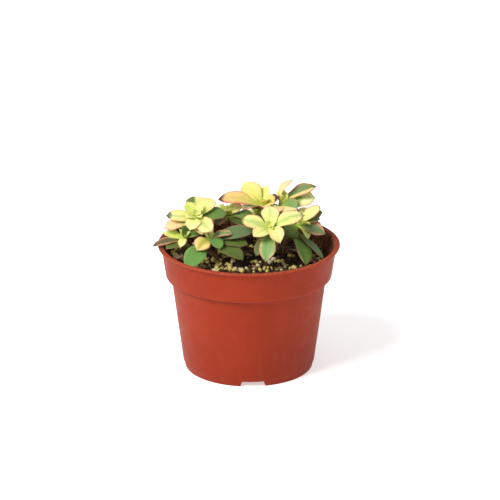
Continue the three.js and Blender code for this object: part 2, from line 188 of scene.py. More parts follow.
def new_material(name):
    """An empty material with a Principled shader, and the places on the piece in metres."""
    made = bpy.data.materials.new(name)
    made.use_nodes = True
    tree = made.node_tree
    shader = tree.nodes["Principled BSDF"]
    where = tree.nodes.new("ShaderNodeTexCoord").outputs["Object"]
    return made, tree, shader, where


# %% [markdown]
# Three effects turn up on many surfaces here. Mottling is a slow drift of tone that keeps plastic and
# leaves from looking printed. Grit is fine dust and specks of potting mix that cling in clusters. Grain is
# the small height that makes a highlight break up. Each is built once as a node group, with named inputs,
# and each material places it with its own values.

# %% Shared node groups
def new_group(name, inputs, output):
    """A node group with number inputs, given with their usual values, and one number output."""
    tree = bpy.data.node_groups.new(name, "ShaderNodeTree")
    tree.interface.new_socket("Where", in_out="INPUT", socket_type="NodeSocketVector")
    for label, usual in inputs.items():
        made = tree.interface.new_socket(label, in_out="INPUT", socket_type="NodeSocketFloat")
        made.default_value = usual
    tree.interface.new_socket(output, in_out="OUTPUT", socket_type="NodeSocketFloat")
    return tree, tree.nodes.new("NodeGroupInput").outputs, tree.nodes.new("NodeGroupOutput").inputs


def mottling_group():
    """Two sizes of cloud, three parts to one, mapped from their middle range to Low and High."""
    tree, given, out = new_group("mottling", {"Scale": 40.0, "Low": 0.0, "High": 1.0}, "Value")
    clouds = noise(tree, given["Where"], given["Scale"])
    flecks = noise(tree, given["Where"], times(tree, given["Scale"], 7.0))
    both = sums(tree, "MULTIPLY_ADD", clouds, 0.75, times(tree, flecks, 0.25))
    tree.links.new(span(tree, both, 0.35, 0.65, given["Low"], given["High"]), out["Value"])
    return tree


def grit_group():
    """Specks where fine noise passes a threshold, which a slow noise raises and lowers over the surface."""
    tree, given, out = new_group("grit", {"Scale": 900.0, "Cover": 0.3}, "Mask")
    specks = noise(tree, given["Where"], given["Scale"], detail=4.0, roughness=0.7)
    drift = noise(tree, given["Where"], times(tree, given["Scale"], 0.06), detail=2.0)
    reach = times(tree, given["Cover"], sums(tree, "ADD", drift, 0.5))
    level = sums(tree, "SUBTRACT", sums(tree, "ADD", specks, reach), 0.72)
    tree.links.new(span(tree, level, 0.0, 0.08), out["Mask"])
    return tree


def grain_group():
    """Height from fine noise with a little of a grain four times finer."""
    tree, given, out = new_group("grain", {"Scale": 1500.0, "Roughness": 0.6}, "Height")
    coarse = noise(tree, given["Where"], given["Scale"], roughness=given["Roughness"])
    fine = noise(tree, given["Where"], times(tree, given["Scale"], 4.0), detail=1.0)
    tree.links.new(sums(tree, "MULTIPLY_ADD", fine, 0.3, coarse), out["Height"])
    return tree


MOTTLING = mottling_group()
GRIT = grit_group()
GRAIN = grain_group()


def use(tree, group, where, **values):
    """Places a shared group in a material's tree with its own values, and gives its output."""
    inputs = {"Where": where, **values}
    return add(tree, "ShaderNodeGroup", inputs, node_tree=group).outputs[0]


def bump(tree, height, strength, distance):
    """The normal that a height gives, distance being the height of 1 in metres."""
    inputs = {"Height": height, "Strength": strength, "Distance": distance}
    return add(tree, "ShaderNodeBump", inputs).outputs["Normal"]


print("node groups:", [g.name for g in bpy.data.node_groups])

# %% [markdown]
# Every piece here is one of two kinds of surface: rings of points joined into a tube that is closed at both
# ends, or many copies of a small closed lump. A shape is kept as plain arrays, its points in millimetres,
# its faces as rows of point numbers, and the paint that its material reads. Arrays can be joined, turned
# and measured in one step, where a modelling tool would need hundreds.

# %% Shapes as arrays
def tube_faces(rows, around):
    """Quads between closed rings, and a fan of triangles from each end ring to the end's middle point.

    The points are the rings in order, then the first end's middle, then the last end's middle.
    """
    ring = np.arange(around)
    beside = (ring + 1) % around
    start = np.arange(rows - 1)[:, None] * around
    end = start + around
    quads = np.stack([start + ring, start + beside, end + beside, end + ring], -1)
    last = (rows - 1) * around
    first_fan = np.stack([np.full(around, rows * around), beside, ring], -1)
    last_fan = np.stack([np.full(around, rows * around + 1), last + ring, last + beside], -1)
    return quads.reshape(-1, 4), np.concatenate([first_fan, last_fan])


def outward(points, quads, tris):
    """The faces, turned over if they point inwards.

    The volume inside is a sixth of the sum of each triangle's triple product, and is below 0 if they do.
    """
    halves = np.concatenate([quads[:, [0, 1, 2]], quads[:, [0, 2, 3]], tris])
    a, b, c = (points[halves[:, k]] for k in range(3))
    if np.einsum("ij,ij->", a, np.cross(b, c)) / 6 < 0:
        return quads[:, ::-1], tris[:, ::-1]
    return quads, tris


def copies(faces, count, size):
    """One lump's faces for each of many lumps: the point numbers move on by a lump's number of points."""
    step = (np.arange(count) * size)[:, None, None]
    return (faces[None] + step).reshape(-1, faces.shape[1])


def turns(count):
    """A full turn in equal steps, as one row of angles."""
    return np.linspace(0, 2 * np.pi, count, endpoint=False)[None, :]


def round_points(radius, turn, height):
    """Points round Z: x and y are the radius times the cosine and sine of the turn."""
    x = radius * np.cos(turn)
    y = radius * np.sin(turn)
    return np.stack(np.broadcast_arrays(x, y, height), -1)


def carried(line, radius, turn, first, second):
    """Rings carried along a line, in the plane of two directions.

    A point is the line's, plus the radius times the cosine of the turn one way and its sine the other way.
    """
    off = np.cos(turn)[..., None] * first + np.sin(turn)[..., None] * second
    return line[:, None] + radius[..., None] * off


def tube(rings, first=None, last=None, **paint):
    """A closed tube from rings of shape (rows, around, 3), with paint of shape (rows, around, n).

    Each end closes on the point given for it, or else on the middle of its ring.
    """
    rows, around = rings.shape[:2]
    first = rings[0].mean(0) if first is None else first
    last = rings[-1].mean(0) if last is None else last
    points = np.concatenate([rings.reshape(-1, 3), [first, last]])
    quads, tris = outward(points, *tube_faces(rows, around))
    shape = {"points": points, "quads": quads, "tris": tris}
    for name, values in paint.items():
        flat = values.reshape(rows * around, -1)
        shape[name] = np.concatenate([flat, [values[0].mean(0), values[-1].mean(0)]])
    return shape


def joined(shapes):
    """Several shapes as one: their arrays end to end, with the point numbers moved on."""
    starts = np.cumsum([0] + [len(s["points"]) for s in shapes[:-1]])
    whole = {}
    for name in shapes[0]:
        if name in ("quads", "tris"):
            whole[name] = np.concatenate([s[name] + k for s, k in zip(shapes, starts)])
        else:
            whole[name] = np.concatenate([s[name] for s in shapes])
    return whole


def as_piece(name, shape, materials, replaced=(), face_material=None):
    """Puts a shape into a smooth-shaded mesh in metres that rides on the one body."""
    quads, tris = shape["quads"], shape["tris"]
    mesh = bpy.data.meshes.new(name)
    mesh.vertices.add(len(shape["points"]))
    mesh.vertices.foreach_set("co", (shape["points"] * MM).astype(np.float32).ravel())
    corners = np.concatenate([quads.ravel(), tris.ravel()]).astype(np.int32)
    counts = np.concatenate([np.full(len(quads), 4), np.full(len(tris), 3)])
    mesh.loops.add(len(corners))
    mesh.loops.foreach_set("vertex_index", corners)
    mesh.polygons.add(len(counts))
    mesh.polygons.foreach_set("loop_start", (np.cumsum(counts) - counts).astype(np.int32))
    mesh.polygons.foreach_set("use_smooth", np.ones(len(counts), bool))
    if face_material is not None:
        mesh.polygons.foreach_set("material_index", face_material.astype(np.int32))
    for label in sorted(set(shape) - {"points", "quads", "tris", "uv"}):
        values = shape[label]
        if values.shape[1] == 1:
            values = np.repeat(values, 3, 1)
        opaque = np.ones((len(values), 4 - values.shape[1]))
        four = np.concatenate([values, opaque], 1)
        layer = mesh.color_attributes.new(label, "FLOAT_COLOR", "POINT")
        layer.data.foreach_set("color", four.astype(np.float32).ravel())
    if "uv" in shape:
        layer = mesh.uv_layers.new(name="blade")
        layer.data.foreach_set("uv", shape["uv"][corners].astype(np.float32).ravel())
    mesh.update(calc_edges=True)
    for material in materials:
        mesh.materials.append(material)
    piece = bpy.data.objects.new(name, mesh)
    bpy.context.scene.collection.objects.link(piece)
    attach(piece, "root")
    if replaced:
        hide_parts(*replaced)
    print(name, len(quads) * 2 + len(tris), "triangles")
    return piece


def unit(vectors):
    """Vectors along the last axis, each brought to a length of 1."""
    return vectors / np.linalg.norm(vectors, axis=-1, keepdims=True)


def smooth(x):
    """0 below 0, 1 above 1, and between them three times the square less twice the cube."""
    x = np.clip(x, 0, 1)
    return x * x * (3 - 2 * x)


# %% [markdown]
# The floor of a product studio is a plain pale sheet that is lit hard enough to turn white. A glowing
# material could do that alone, but then nothing would ground the pot. So the sheet is white paper that also
# gives off a little light, which keeps a soft shadow under the pot.

# %% Floor
FLOOR_REACH = 12000.0
FLOOR_GLOW = 0.5
PAPER_GREY = screen(247, 247, 246)
PAPER_WHITE = screen(250, 250, 249)

floor_finish, tree, shader, where = new_material("studio_paper")
paper = use(tree, MOTTLING, where, Scale=4.0)
feed(tree, shader, {
    "Base Color": mixed(tree, paper, PAPER_GREY, PAPER_WHITE),
    "Roughness": 0.9,
    "Specular IOR Level": 0.1,
    "Emission Color": (1, 1, 1, 1),
    "Emission Strength": FLOOR_GLOW,
})

corner = np.array([[-1, -1, 0], [1, -1, 0], [1, 1, 0], [-1, 1, 0]]) * FLOOR_REACH * MM
floor_mesh = bpy.data.meshes.new("studio_floor")
floor_mesh.from_pydata(corner.tolist(), [], [(0, 1, 2, 3)])
floor_mesh.materials.append(floor_finish)
studio_floor = bpy.data.objects.new("studio_floor", floor_mesh)
bpy.context.scene.collection.objects.link(studio_floor)
print("floor", 2 * FLOOR_REACH * MM, "m across")

# %% [markdown]
# The pot is one thin moulded wall of terracotta-coloured plastic: a flat lip, a tall collar that steps in
# to a tapered body, and a foot ring with three shallow notches. It could be a lathe of straight lines with
# a bevel, but the notches would then need cutting. Here each corner of the profile is rounded by a short
# curve, the profile is turned as one array, and the foot's lowest points are lifted where a notch is.

# %% Pot sizes
POT_HEIGHT = 108.0
RIM_RADIUS = 76.2
WALL = 1.4
LIP_HEIGHT = 1.6
COLLAR_TOP_RADIUS = 73.4
COLLAR_LOW_RADIUS = 69.9
COLLAR_LOW = 80.5
BODY_TOP_RADIUS = 65.3
BODY_LOW_RADIUS = 55.6
FOOT_HEIGHT = 5.0
FOOT_TOP_RADIUS = 54.9
FOOT_RADIUS = 54.0
CHANNEL_HEIGHT = 4.5
CHANNEL_INNER_RADIUS = 34.0
FLOOR_THICKNESS = 1.6
NOTCHES = 3
NOTCH_WIDTH = 20.0
NOTCH_HEIGHT = 4.2
NOTCH_AZIMUTH = math.radians(-86)
DRAIN_HOLES = 6
DRAIN_HOLE_RADIUS = 4.5
DRAIN_HOLE_SIDES = 32
POT_SEGMENTS = 240
WALL_SWAY = 0.22

LIP_LOW = POT_HEIGHT - LIP_HEIGHT
LEDGE = COLLAR_LOW + WALL
# Each row is a corner's radius, its height, and how far its rounding reaches along the profile.
POT_PROFILE = np.array([
    [2, 0, 0],
    [CHANNEL_INNER_RADIUS - 4, 0, 1],
    [CHANNEL_INNER_RADIUS, CHANNEL_HEIGHT, 1],
    [FOOT_RADIUS - WALL, CHANNEL_HEIGHT, 0.5],
    [FOOT_RADIUS - WALL, 0, 0.35],
    [FOOT_RADIUS, 0, 0.35],
    [FOOT_TOP_RADIUS, FOOT_HEIGHT, 0.3],
    [BODY_LOW_RADIUS, FOOT_HEIGHT + 0.5, 0.4],
    [BODY_TOP_RADIUS, COLLAR_LOW, 1.2],
    [COLLAR_LOW_RADIUS - 0.2, COLLAR_LOW, 1.1],
    [COLLAR_TOP_RADIUS, LIP_LOW, 0.7],
    [RIM_RADIUS, LIP_LOW + 0.2, 0.5],
    [RIM_RADIUS, POT_HEIGHT, 0.5],
    [COLLAR_TOP_RADIUS - WALL, POT_HEIGHT, 0.6],
    [COLLAR_LOW_RADIUS - WALL - 0.2, LEDGE, 1],
    [BODY_TOP_RADIUS - WALL, LEDGE, 1],
    [BODY_LOW_RADIUS - WALL, CHANNEL_HEIGHT + FLOOR_THICKNESS, 1],
    [CHANNEL_INNER_RADIUS - 0.6, CHANNEL_HEIGHT + FLOOR_THICKNESS, 1],
    [CHANNEL_INNER_RADIUS - 4.6, FLOOR_THICKNESS, 1],
    [2, FLOOR_THICKNESS, 0],
])


# %% Pot profile
ROUNDING_STEPS = 5
FLAT_STEP = 4.0


def rounded_profile(corners):
    """A profile whose corners are rounded, each by a quadratic curve between points at its rounding's reach.

    The curve is (1-t)^2 A + 2t(1-t) C + t^2 B, with C the corner and A and B on the lines beside it. Long
    straight stretches get a point every few millimetres.
    """
    at, reach = corners[:, :2], corners[:, 2:]
    towards_last = unit(at[:-2] - at[1:-1])
    towards_next = unit(at[2:] - at[1:-1])
    t = np.linspace(0, 1, ROUNDING_STEPS)[None, :, None]
    a = (at[1:-1] + towards_last * reach[1:-1])[:, None]
    b = (at[1:-1] + towards_next * reach[1:-1])[:, None]
    curves = (1 - t) ** 2 * a + 2 * t * (1 - t) * at[1:-1][:, None] + t**2 * b
    line = np.concatenate([at[:1], curves.reshape(-1, 2), at[-1:]])
    length = np.linalg.norm(np.diff(line, axis=0), axis=1)
    steps = np.maximum(1, np.round(length / FLAT_STEP)).astype(int)
    stretches = [np.linspace(p, q, n, endpoint=False) for p, q, n in zip(line[:-1], line[1:], steps)]
    return np.concatenate([*stretches, line[-1:]])


def turned_pot():
    """The profile turned about Z.

    The wall is out of round by a few tenths of a millimetre towards the rim, as thin plastic is: the sway
    grows with the square of the height, in two waves and three waves round. Near the foot, a point under a
    notch's top is lifted to it. The inside is painted 1 and the outside 0.
    """
    profile = rounded_profile(POT_PROFILE)
    turn = turns(POT_SEGMENTS)
    radius, height = profile[:, :1], profile[:, 1:]
    waves = np.cos(2 * turn + 0.7) + 0.4 * np.cos(3 * turn)
    sway = WALL_SWAY * (height / POT_HEIGHT) ** 2 * waves
    wide = radius + sway * smooth((radius - 40) / 20)
    third = 2 * np.pi / NOTCHES
    from_notch = np.abs((turn - NOTCH_AZIMUTH + third / 2) % third - third / 2) * FOOT_RADIUS
    inside_notch = smooth((NOTCH_WIDTH / 2 + 0.4 - from_notch) / 0.8)
    on_foot = (radius > FOOT_RADIUS - WALL - 0.6) & (height < NOTCH_HEIGHT)
    lifted = height + (NOTCH_HEIGHT - height) * inside_notch * on_foot
    top = np.argmax(profile[:, 1] + 1e-3 * profile[:, 0])
    past_lip = smooth((np.arange(len(profile)) - top) / 8.0)[:, None, None]
    inner = past_lip * np.ones((1, POT_SEGMENTS, 1))
    return tube(round_points(wide, turn, lifted), [0, 0, 0], [0, 0, FLOOR_THICKNESS], inner=inner)


print("pot profile points:", len(rounded_profile(POT_PROFILE)))

# %% [markdown]
# Moulded polypropylene has a satin skin: a broad soft highlight, a faint orange-peel grain, and a drift of
# tone where the colour pigment lies unevenly. Handling leaves fine pale scuffs round the lip, water leaves
# dusty marks low on the wall, and the inside is stained by the potting mix that once touched it. Painted
# shade darkens the wall towards the foot, the crease under the collar, and the back of the lip. Each kind
# of wear and each painted shade is a mask from height or noise, through which one more colour is laid over
# the plastic.

# %% Pot finish
TERRACOTTA = screen(148, 47, 20)
TERRACOTTA_DEEP = screen(139, 42, 17)
TERRACOTTA_WORN = screen(190, 90, 62)
# Painted shade: the colour that darkens the low wall towards the foot.
PAINTED_FOOT_SHADE = screen(128, 38, 15)
# Painted shade: the darker back of the lip.
PAINTED_LIP_SHADE = screen(88, 30, 24)
MIX_STAIN = screen(134, 64, 42)
# Painted shade: the dark line in the crease under the collar's overhang.
PAINTED_CREASE_SHADE = screen(78, 38, 27)
WATER_DUST = screen(205, 140, 112)
WET_CRUMB = screen(34, 21, 15)
DRY_CRUMB = screen(168, 130, 92)
# Where each kind of wear or painted shade begins and where it is full, in millimetres up the pot, or from
# front to back.
WATER_MARKS = (45, 4)
DARK_FOOT = (60, 0)
CREASE_BELOW = (COLLAR_LOW - 2.6, COLLAR_LOW - 0.6)
CREASE_ABOVE = (COLLAR_LOW + 0.5, COLLAR_LOW + 0.1)
LIP_WEAR_AND_SHADE = (POT_HEIGHT - 1.2, POT_HEIGHT - 0.2)
BACK_OF_LIP = (-40, 20)


def band(tree, place, limits):
    """A mask that grows from 0 at the first limit to 1 at the second, both in millimetres."""
    return span(tree, place, limits[0] * MM, limits[1] * MM)


def pot_outside(tree, where, place, colour):
    """Dusty water marks, a scuffed lip, and painted shade on the foot, in the crease and at the back of the
    lip.
    """
    height = place["Z"]
    runs = noise(tree, stretched(tree, where, 1, 1, 0.06), 160.0, detail=4.0)
    marks = times(tree, span(tree, runs, 0.52, 0.75), band(tree, height, WATER_MARKS), 0.10)
    colour = mixed(tree, marks, colour, WATER_DUST)
    # Painted shade: the wall is laid darker towards the foot.
    colour = laid(tree, colour, PAINTED_FOOT_SHADE, band(tree, height, DARK_FOOT), 0.75)
    # Painted shade in the crease under the collar, where the overhang shades the body.
    crease = times(tree, band(tree, height, CREASE_BELOW), band(tree, height, CREASE_ABOVE))
    colour = laid(tree, colour, PAINTED_CREASE_SHADE, crease, 0.6)
    lip = band(tree, height, LIP_WEAR_AND_SHADE)
    scuffed = times(tree, lip, use(tree, GRIT, where, Scale=420.0, Cover=0.34))
    colour = laid(tree, colour, TERRACOTTA_WORN, scuffed, 0.45)
    # Painted shade: the back of the lip is laid darker, where it lies in shade. The damp mask carries it.
    damp = times(tree, lip, band(tree, place["Y"], BACK_OF_LIP))
    return laid(tree, colour, PAINTED_LIP_SHADE, damp, 0.6), marks


def pot_inside(tree, where, inner, colour):
    """The stain of the potting mix, and wet and dry crumbs that cling to the wall."""
    stain = use(tree, MOTTLING, where, Scale=60.0, Low=0.45, High=0.85)
    colour = laid(tree, colour, MIX_STAIN, inner, stain)
    wet = times(tree, use(tree, GRIT, where, Scale=760.0, Cover=0.38), inner)
    colour = laid(tree, colour, WET_CRUMB, wet, 0.7)
    dry = times(tree, use(tree, GRIT, where, Scale=560.0, Cover=0.26), inner)
    return laid(tree, colour, DRY_CRUMB, dry, 0.5)


def pot_finish():
    """Terracotta plastic in two tones, worn and painted with shade outside, stained inside, and duller where
    it is dirty.
    """
    made, tree, shader, where = new_material("terracotta_plastic")
    place = add(tree, "ShaderNodeSeparateXYZ", {"Vector": where}).outputs
    inner = painted(tree, "inner")["Fac"]
    colour = mixed(tree, use(tree, MOTTLING, where, Scale=26.0), TERRACOTTA, TERRACOTTA_DEEP)
    colour, marks = pot_outside(tree, where, place, colour)
    gloss = use(tree, MOTTLING, where, Scale=90.0, Low=0.48, High=0.57)
    dusty = sums(tree, "MULTIPLY_ADD", marks, 0.6, gloss)
    peel = use(tree, GRAIN, where, Scale=700.0, Roughness=0.5)
    feed(tree, shader, {
        "Base Color": pot_inside(tree, where, inner, colour),
        "Roughness": sums(tree, "MULTIPLY_ADD", inner, 0.3, dusty),
        "Specular IOR Level": 0.13,
        "Normal": bump(tree, peel, strength=0.25, distance=0.00006),
    })
    return made


# %% Pot piece
def cut_drain_holes(pot):
    """Cuts round holes in the raised ring of the floor, then keeps the result as the pot's mesh."""
    middle = (CHANNEL_INNER_RADIUS + FOOT_RADIUS - WALL) / 2
    heights = np.array([[FLOOR_THICKNESS], [CHANNEL_HEIGHT + 2 * FLOOR_THICKNESS]])
    pin = round_points(DRAIN_HOLE_RADIUS, turns(DRAIN_HOLE_SIDES), heights)
    pins = []
    for turn in NOTCH_AZIMUTH + (np.arange(DRAIN_HOLES) + 0.5) * 2 * np.pi / DRAIN_HOLES:
        pins.append(tube(pin + np.array([middle * np.cos(turn), middle * np.sin(turn), 0])))
    cutter = as_piece("drain_pins", joined(pins), [])
    cut = pot.modifiers.new("drain_holes", "BOOLEAN")
    cut.operation = "DIFFERENCE"
    cut.solver = "EXACT"
    cut.object = cutter
    finished = bpy.data.meshes.new_from_object(pot.evaluated_get(bpy.context.evaluated_depsgraph_get()))
    pot.modifiers.clear()
    pot.data = finished
    bpy.data.objects.remove(cutter)


nursery_pot = as_piece("nursery_pot", turned_pot(), [pot_finish()], ["pot"])
cut_drain_holes(nursery_pot)
print("pot faces after the drain holes:", len(nursery_pot.data.polygons))

# %% [markdown]
# Potting mix is peat, fine bark and perlite. From a step away it is a dark, uneven bed; close up it is
# separate crumbs. One displaced surface would look like tar, and loose crumbs alone would show gaps, so
# both are used: a closed body with a rough top, and on it thousands of small lumps, each a few dozen faces,
# worked out at once.

# %% Potting mix sizes
SOIL_LEVEL = 91.0
SOIL_MOUND = 2.5
SOIL_ROUGHNESS = 1.2
SOIL_EDGE_RADIUS = 69.0
SOIL_SEGMENTS = 260
SOIL_RINGS = 90
SOIL_GAP = 0.3
# Each size of clod on the bed is its height, its width and the seed of its noise.
SOIL_CLODS = [(0.8, 3.4, 1), (0.5, 1.6, 2), (0.25, 0.8, 3)]


def lattice_noise(x, y, size, seed):
    """Smooth random heights from -1 to 1: random numbers on a square lattice, blended by a smoothstep."""
    table = np.random.default_rng(seed).uniform(-1, 1, (64, 64))
    i = np.floor(x / size).astype(int)
    j = np.floor(y / size).astype(int)
    u = smooth(x / size - i)
    v = smooth(y / size - j)
    near = table[i % 64, j % 64] * (1 - u) + table[(i + 1) % 64, j % 64] * u
    far = table[i % 64, (j + 1) % 64] * (1 - u) + table[(i + 1) % 64, (j + 1) % 64] * u
    return near * (1 - v) + far * v


def soil_top(x, y):
    """The bed's height: a low mound that falls with the square of the radius, plus two waves of clods."""
    share = np.hypot(x, y) / COLLAR_LOW_RADIUS
    clods = np.sin(0.31 * x + 1.3) * np.cos(0.27 * y - 0.4) + 0.6 * np.sin(0.83 * x + 0.55 * y)
    return SOIL_LEVEL + SOIL_MOUND * (1 - share**2) + 0.4 * SOIL_ROUGHNESS * clods


def potting_mix():
    """The plug of mix: straight rings up the wall, then rings of falling radius over the rough top."""
    floor = FLOOR_THICKNESS + SOIL_GAP
    side = np.array([
        [CHANNEL_INNER_RADIUS - 6, floor],
        [CHANNEL_INNER_RADIUS - 2, CHANNEL_HEIGHT + floor],
        [BODY_LOW_RADIUS - WALL - 0.6, CHANNEL_HEIGHT + floor],
        [BODY_TOP_RADIUS - WALL - 0.6, LEDGE + SOIL_GAP],
        [COLLAR_LOW_RADIUS - WALL - 1.5, LEDGE + SOIL_GAP],
        [SOIL_EDGE_RADIUS - 0.2, SOIL_LEVEL - 0.8],
    ])
    turn = turns(SOIL_SEGMENTS)
    wall = round_points(side[:, :1], turn, side[:, 1:])
    radius = np.linspace(SOIL_EDGE_RADIUS, 0.4, SOIL_RINGS)[:, None]
    x = radius * np.cos(turn)
    y = radius * np.sin(turn)
    rough = sum(high * lattice_noise(x, y, size, seed) for high, size, seed in SOIL_CLODS)
    top = np.stack([x, y, soil_top(x, y) - 0.4 + rough], -1)
    return tube(np.concatenate([wall, top]), [0, 0, floor])


# %% Lumps by the hundred
def lumps(places, sizes, seed, rows, around, rough, shape=(1.0, 1.0, 1.0)):
    """Closed lumps, one at each place: a ball's rings, pushed in and out at random, squashed and turned.

    A ball's point is the sine of its polar angle times the cosine and sine of the turn, and the cosine.
    Shape is how long, wide and thick a lump is beside its size, so that a shard is made like a crumb. Each
    lump is turned by a random rotation, the product of a matrix with its own transpose being 1.
    """
    rng = np.random.default_rng(seed)
    count = len(places)
    polar = np.linspace(0, np.pi, rows + 2)[1:-1][:, None]
    ball = round_points(np.sin(polar), turns(around), np.cos(polar))
    ball = np.concatenate([ball.reshape(-1, 3), [[0, 0, 1], [0, 0, -1]]])
    pushed = ball[None] * (1 + rough * rng.uniform(-1, 1, (count, len(ball), 1)))
    squashed = pushed * rng.uniform(0.6, 1.1, (count, 1, 3)) * np.array(shape)
    rotation, _ = np.linalg.qr(rng.normal(size=(count, 3, 3)))
    rotation *= np.sign(np.linalg.det(rotation))[:, None, None]
    turned = np.einsum("nij,nkj->nki", rotation, squashed)
    points = turned * (sizes / 2)[:, None, None] + places[:, None]
    quads, tris = outward(ball, *tube_faces(rows, around))
    red, green = (np.repeat(rng.uniform(0, 1, (count, 1)), len(ball), 0) for _ in range(2))
    return {
        "points": points.reshape(-1, 3),
        "quads": copies(quads, count, len(ball)),
        "tris": copies(tris, count, len(ball)),
        "tint": np.concatenate([red, green, red], 1),
    }


def strewn(count, seed, reach=SOIL_EDGE_RADIUS - 1.5):
    """Places strewn evenly over the bed: the radius is the reach times the root of a random number."""
    rng = np.random.default_rng(seed)
    radius = reach * np.sqrt(rng.uniform(0, 1, count))
    turn = rng.uniform(0, 2 * np.pi, count)
    x = radius * np.cos(turn)
    y = radius * np.sin(turn)
    return np.stack([x, y, soil_top(x, y)], -1)


def on_bed(x, y):
    """Places on the bed's top, drawn in to 2 mm from its edge where they would lie past that."""
    inward = np.minimum(1, (SOIL_EDGE_RADIUS - 2) / np.maximum(np.hypot(x, y), 1e-6))
    x = x * inward
    y = y * inward
    return np.stack([x, y, soil_top(x, y)], -1)


# %% Potting mix finish
PEAT_DARK = screen(30, 19, 9)
PEAT_BROWN = screen(64, 42, 25)
BARK_CRUMB = screen(112, 82, 54)


def mix_finish():
    """Dark damp peat: two browns drifting into each other, with fine pale specks and a strong grain."""
    made, tree, shader, where = new_material("damp_peat")
    colour = mixed(tree, use(tree, MOTTLING, where, Scale=160.0), PEAT_DARK, PEAT_BROWN)
    specks = use(tree, GRIT, where, Scale=1400.0, Cover=0.28)
    clods = use(tree, GRAIN, where, Scale=900.0, Roughness=0.75)
    feed(tree, shader, {
        "Base Color": laid(tree, colour, BARK_CRUMB, specks, 0.5),
        "Roughness": 0.93,
        "Specular IOR Level": 0.25,
        "Normal": bump(tree, clods, strength=0.9, distance=0.0006),
    })
    return made


def crumb_finish():
    """Crumbs of peat and bark: each crumb's own tint picks a tone between black-brown and bark."""
    made, tree, shader, where = new_material("peat_crumbs")
    shade = sums(tree, "POWER", channels(tree, "tint")["Red"], 3.2)
    colour = mixed(tree, shade, PEAT_DARK, BARK_CRUMB)
    drift = use(tree, MOTTLING, where, Scale=700.0, High=0.5)
    pores = use(tree, GRAIN, where, Scale=2600.0, Roughness=0.7)
    feed(tree, shader, {
        "Base Color": mixed(tree, drift, colour, PEAT_BROWN),
        "Roughness": 0.9,
        "Specular IOR Level": 0.3,
        "Normal": bump(tree, pores, strength=0.8, distance=0.0003),
    })
    return made


# %% Potting mix pieces
CRUMBS = 2600
BARK_SHARDS = 260
as_piece("potting_mix", potting_mix(), [mix_finish()], ["soil"])

crumb_places = strewn(CRUMBS, 11)
crumb_sizes = np.clip(np.random.default_rng(13).gamma(4.0, 0.48, CRUMBS), 0.8, 4.6)
crumb_places[:, 2] += 0.12 * crumb_sizes - 0.1
shard_places = strewn(BARK_SHARDS, 15)
shard_sizes = np.clip(np.random.default_rng(16).gamma(5.0, 0.9, BARK_SHARDS), 2.2, 8.0)
shard_places[:, 2] += 0.35
crumbs = lumps(crumb_places, crumb_sizes, seed=14, rows=3, around=6, rough=0.28)
shards = lumps(shard_places, shard_sizes, seed=17, rows=4, around=7, rough=0.2, shape=(0.5, 1.0, 0.22))
as_piece("peat_crumbs", joined([crumbs, shards]), [crumb_finish()])

# %% [markdown]
# Perlite is puffed volcanic glass: chalky white grains, a few millimetres across, full of tiny pits. On a
# bed that is often watered, a thin film of algae turns many of them yellow-green. The grains are the same
# lumps as the crumbs with more faces, and each grain's own tint says how green it has become.

# %% Perlite
PERLITE_GRAINS = 100
# Each cluster is its place, its spread in x and y, and its number of grains.
PERLITE_CLUSTERS = [
    (-30, -12, 8, 8, 52), (-20, -25, 5, 2, 10), (-3, -27, 6, 2.5, 12),
    (17, -22, 11, 4.5, 20), (30, -12, 8, 7, 10), (-64, 16, 3, 7, 18),
]
PERLITE_WHITE = screen(253, 248, 216)
PERLITE_GREEN = screen(236, 226, 118)
PERLITE_DUSTY = screen(176, 148, 88)


def perlite_finish():
    """Chalky white to algae green by each grain's tint, with dusty pits and some grains dirty all over."""
    made, tree, shader, where = new_material("perlite")
    tint = channels(tree, "tint")
    colour = mixed(tree, span(tree, tint["Red"], 0.0, 0.5), PERLITE_WHITE, PERLITE_GREEN)
    pits = use(tree, GRIT, where, Scale=1300.0, Cover=0.4)
    colour = laid(tree, colour, PERLITE_DUSTY, pits, 0.55)
    dirt = span(tree, tint["Green"], 0.75, 1.0)
    foam = use(tree, GRAIN, where, Scale=2200.0, Roughness=0.7)
    feed(tree, shader, {
        "Base Color": laid(tree, colour, PERLITE_DUSTY, dirt, 0.5),
        "Roughness": 0.85,
        "Normal": bump(tree, foam, strength=0.9, distance=0.0003),
    })
    return made


perlite_rng = np.random.default_rng(22)
perlite_places = [strewn(PERLITE_GRAINS, 21)]
for x, y, wide, deep, count in PERLITE_CLUSTERS:
    at = perlite_rng.normal((x, y), (wide, deep), (count, 2))
    perlite_places.append(on_bed(at[:, 0], at[:, 1]))
perlite_places = np.concatenate(perlite_places)
perlite_sizes = np.clip(perlite_rng.gamma(6.0, 0.55, len(perlite_places)), 1.3, 5.6)
perlite_places[:, 2] += 0.2 * perlite_sizes
perlite_grains = lumps(perlite_places, perlite_sizes, seed=23, rows=5, around=9, rough=0.2)
as_piece("perlite", perlite_grains, [perlite_finish()])

# %% [markdown]
# Coir fibres and shreds of peat lie loose on the bed. Each is a thin tube along a gentle random curve that
# stays on the surface. The same ring surface that makes a leaf makes a fibre, with few sides, because there
# are many.

# %% Fibres
FIBRES = 130
FIBRE_STEPS = 9
FIBRE_SIDES = 5
FIBRE_DARK = screen(58, 40, 28)
FIBRE_STRAW = screen(158, 122, 80)
FIBRE_BAND = screen(74, 52, 34)


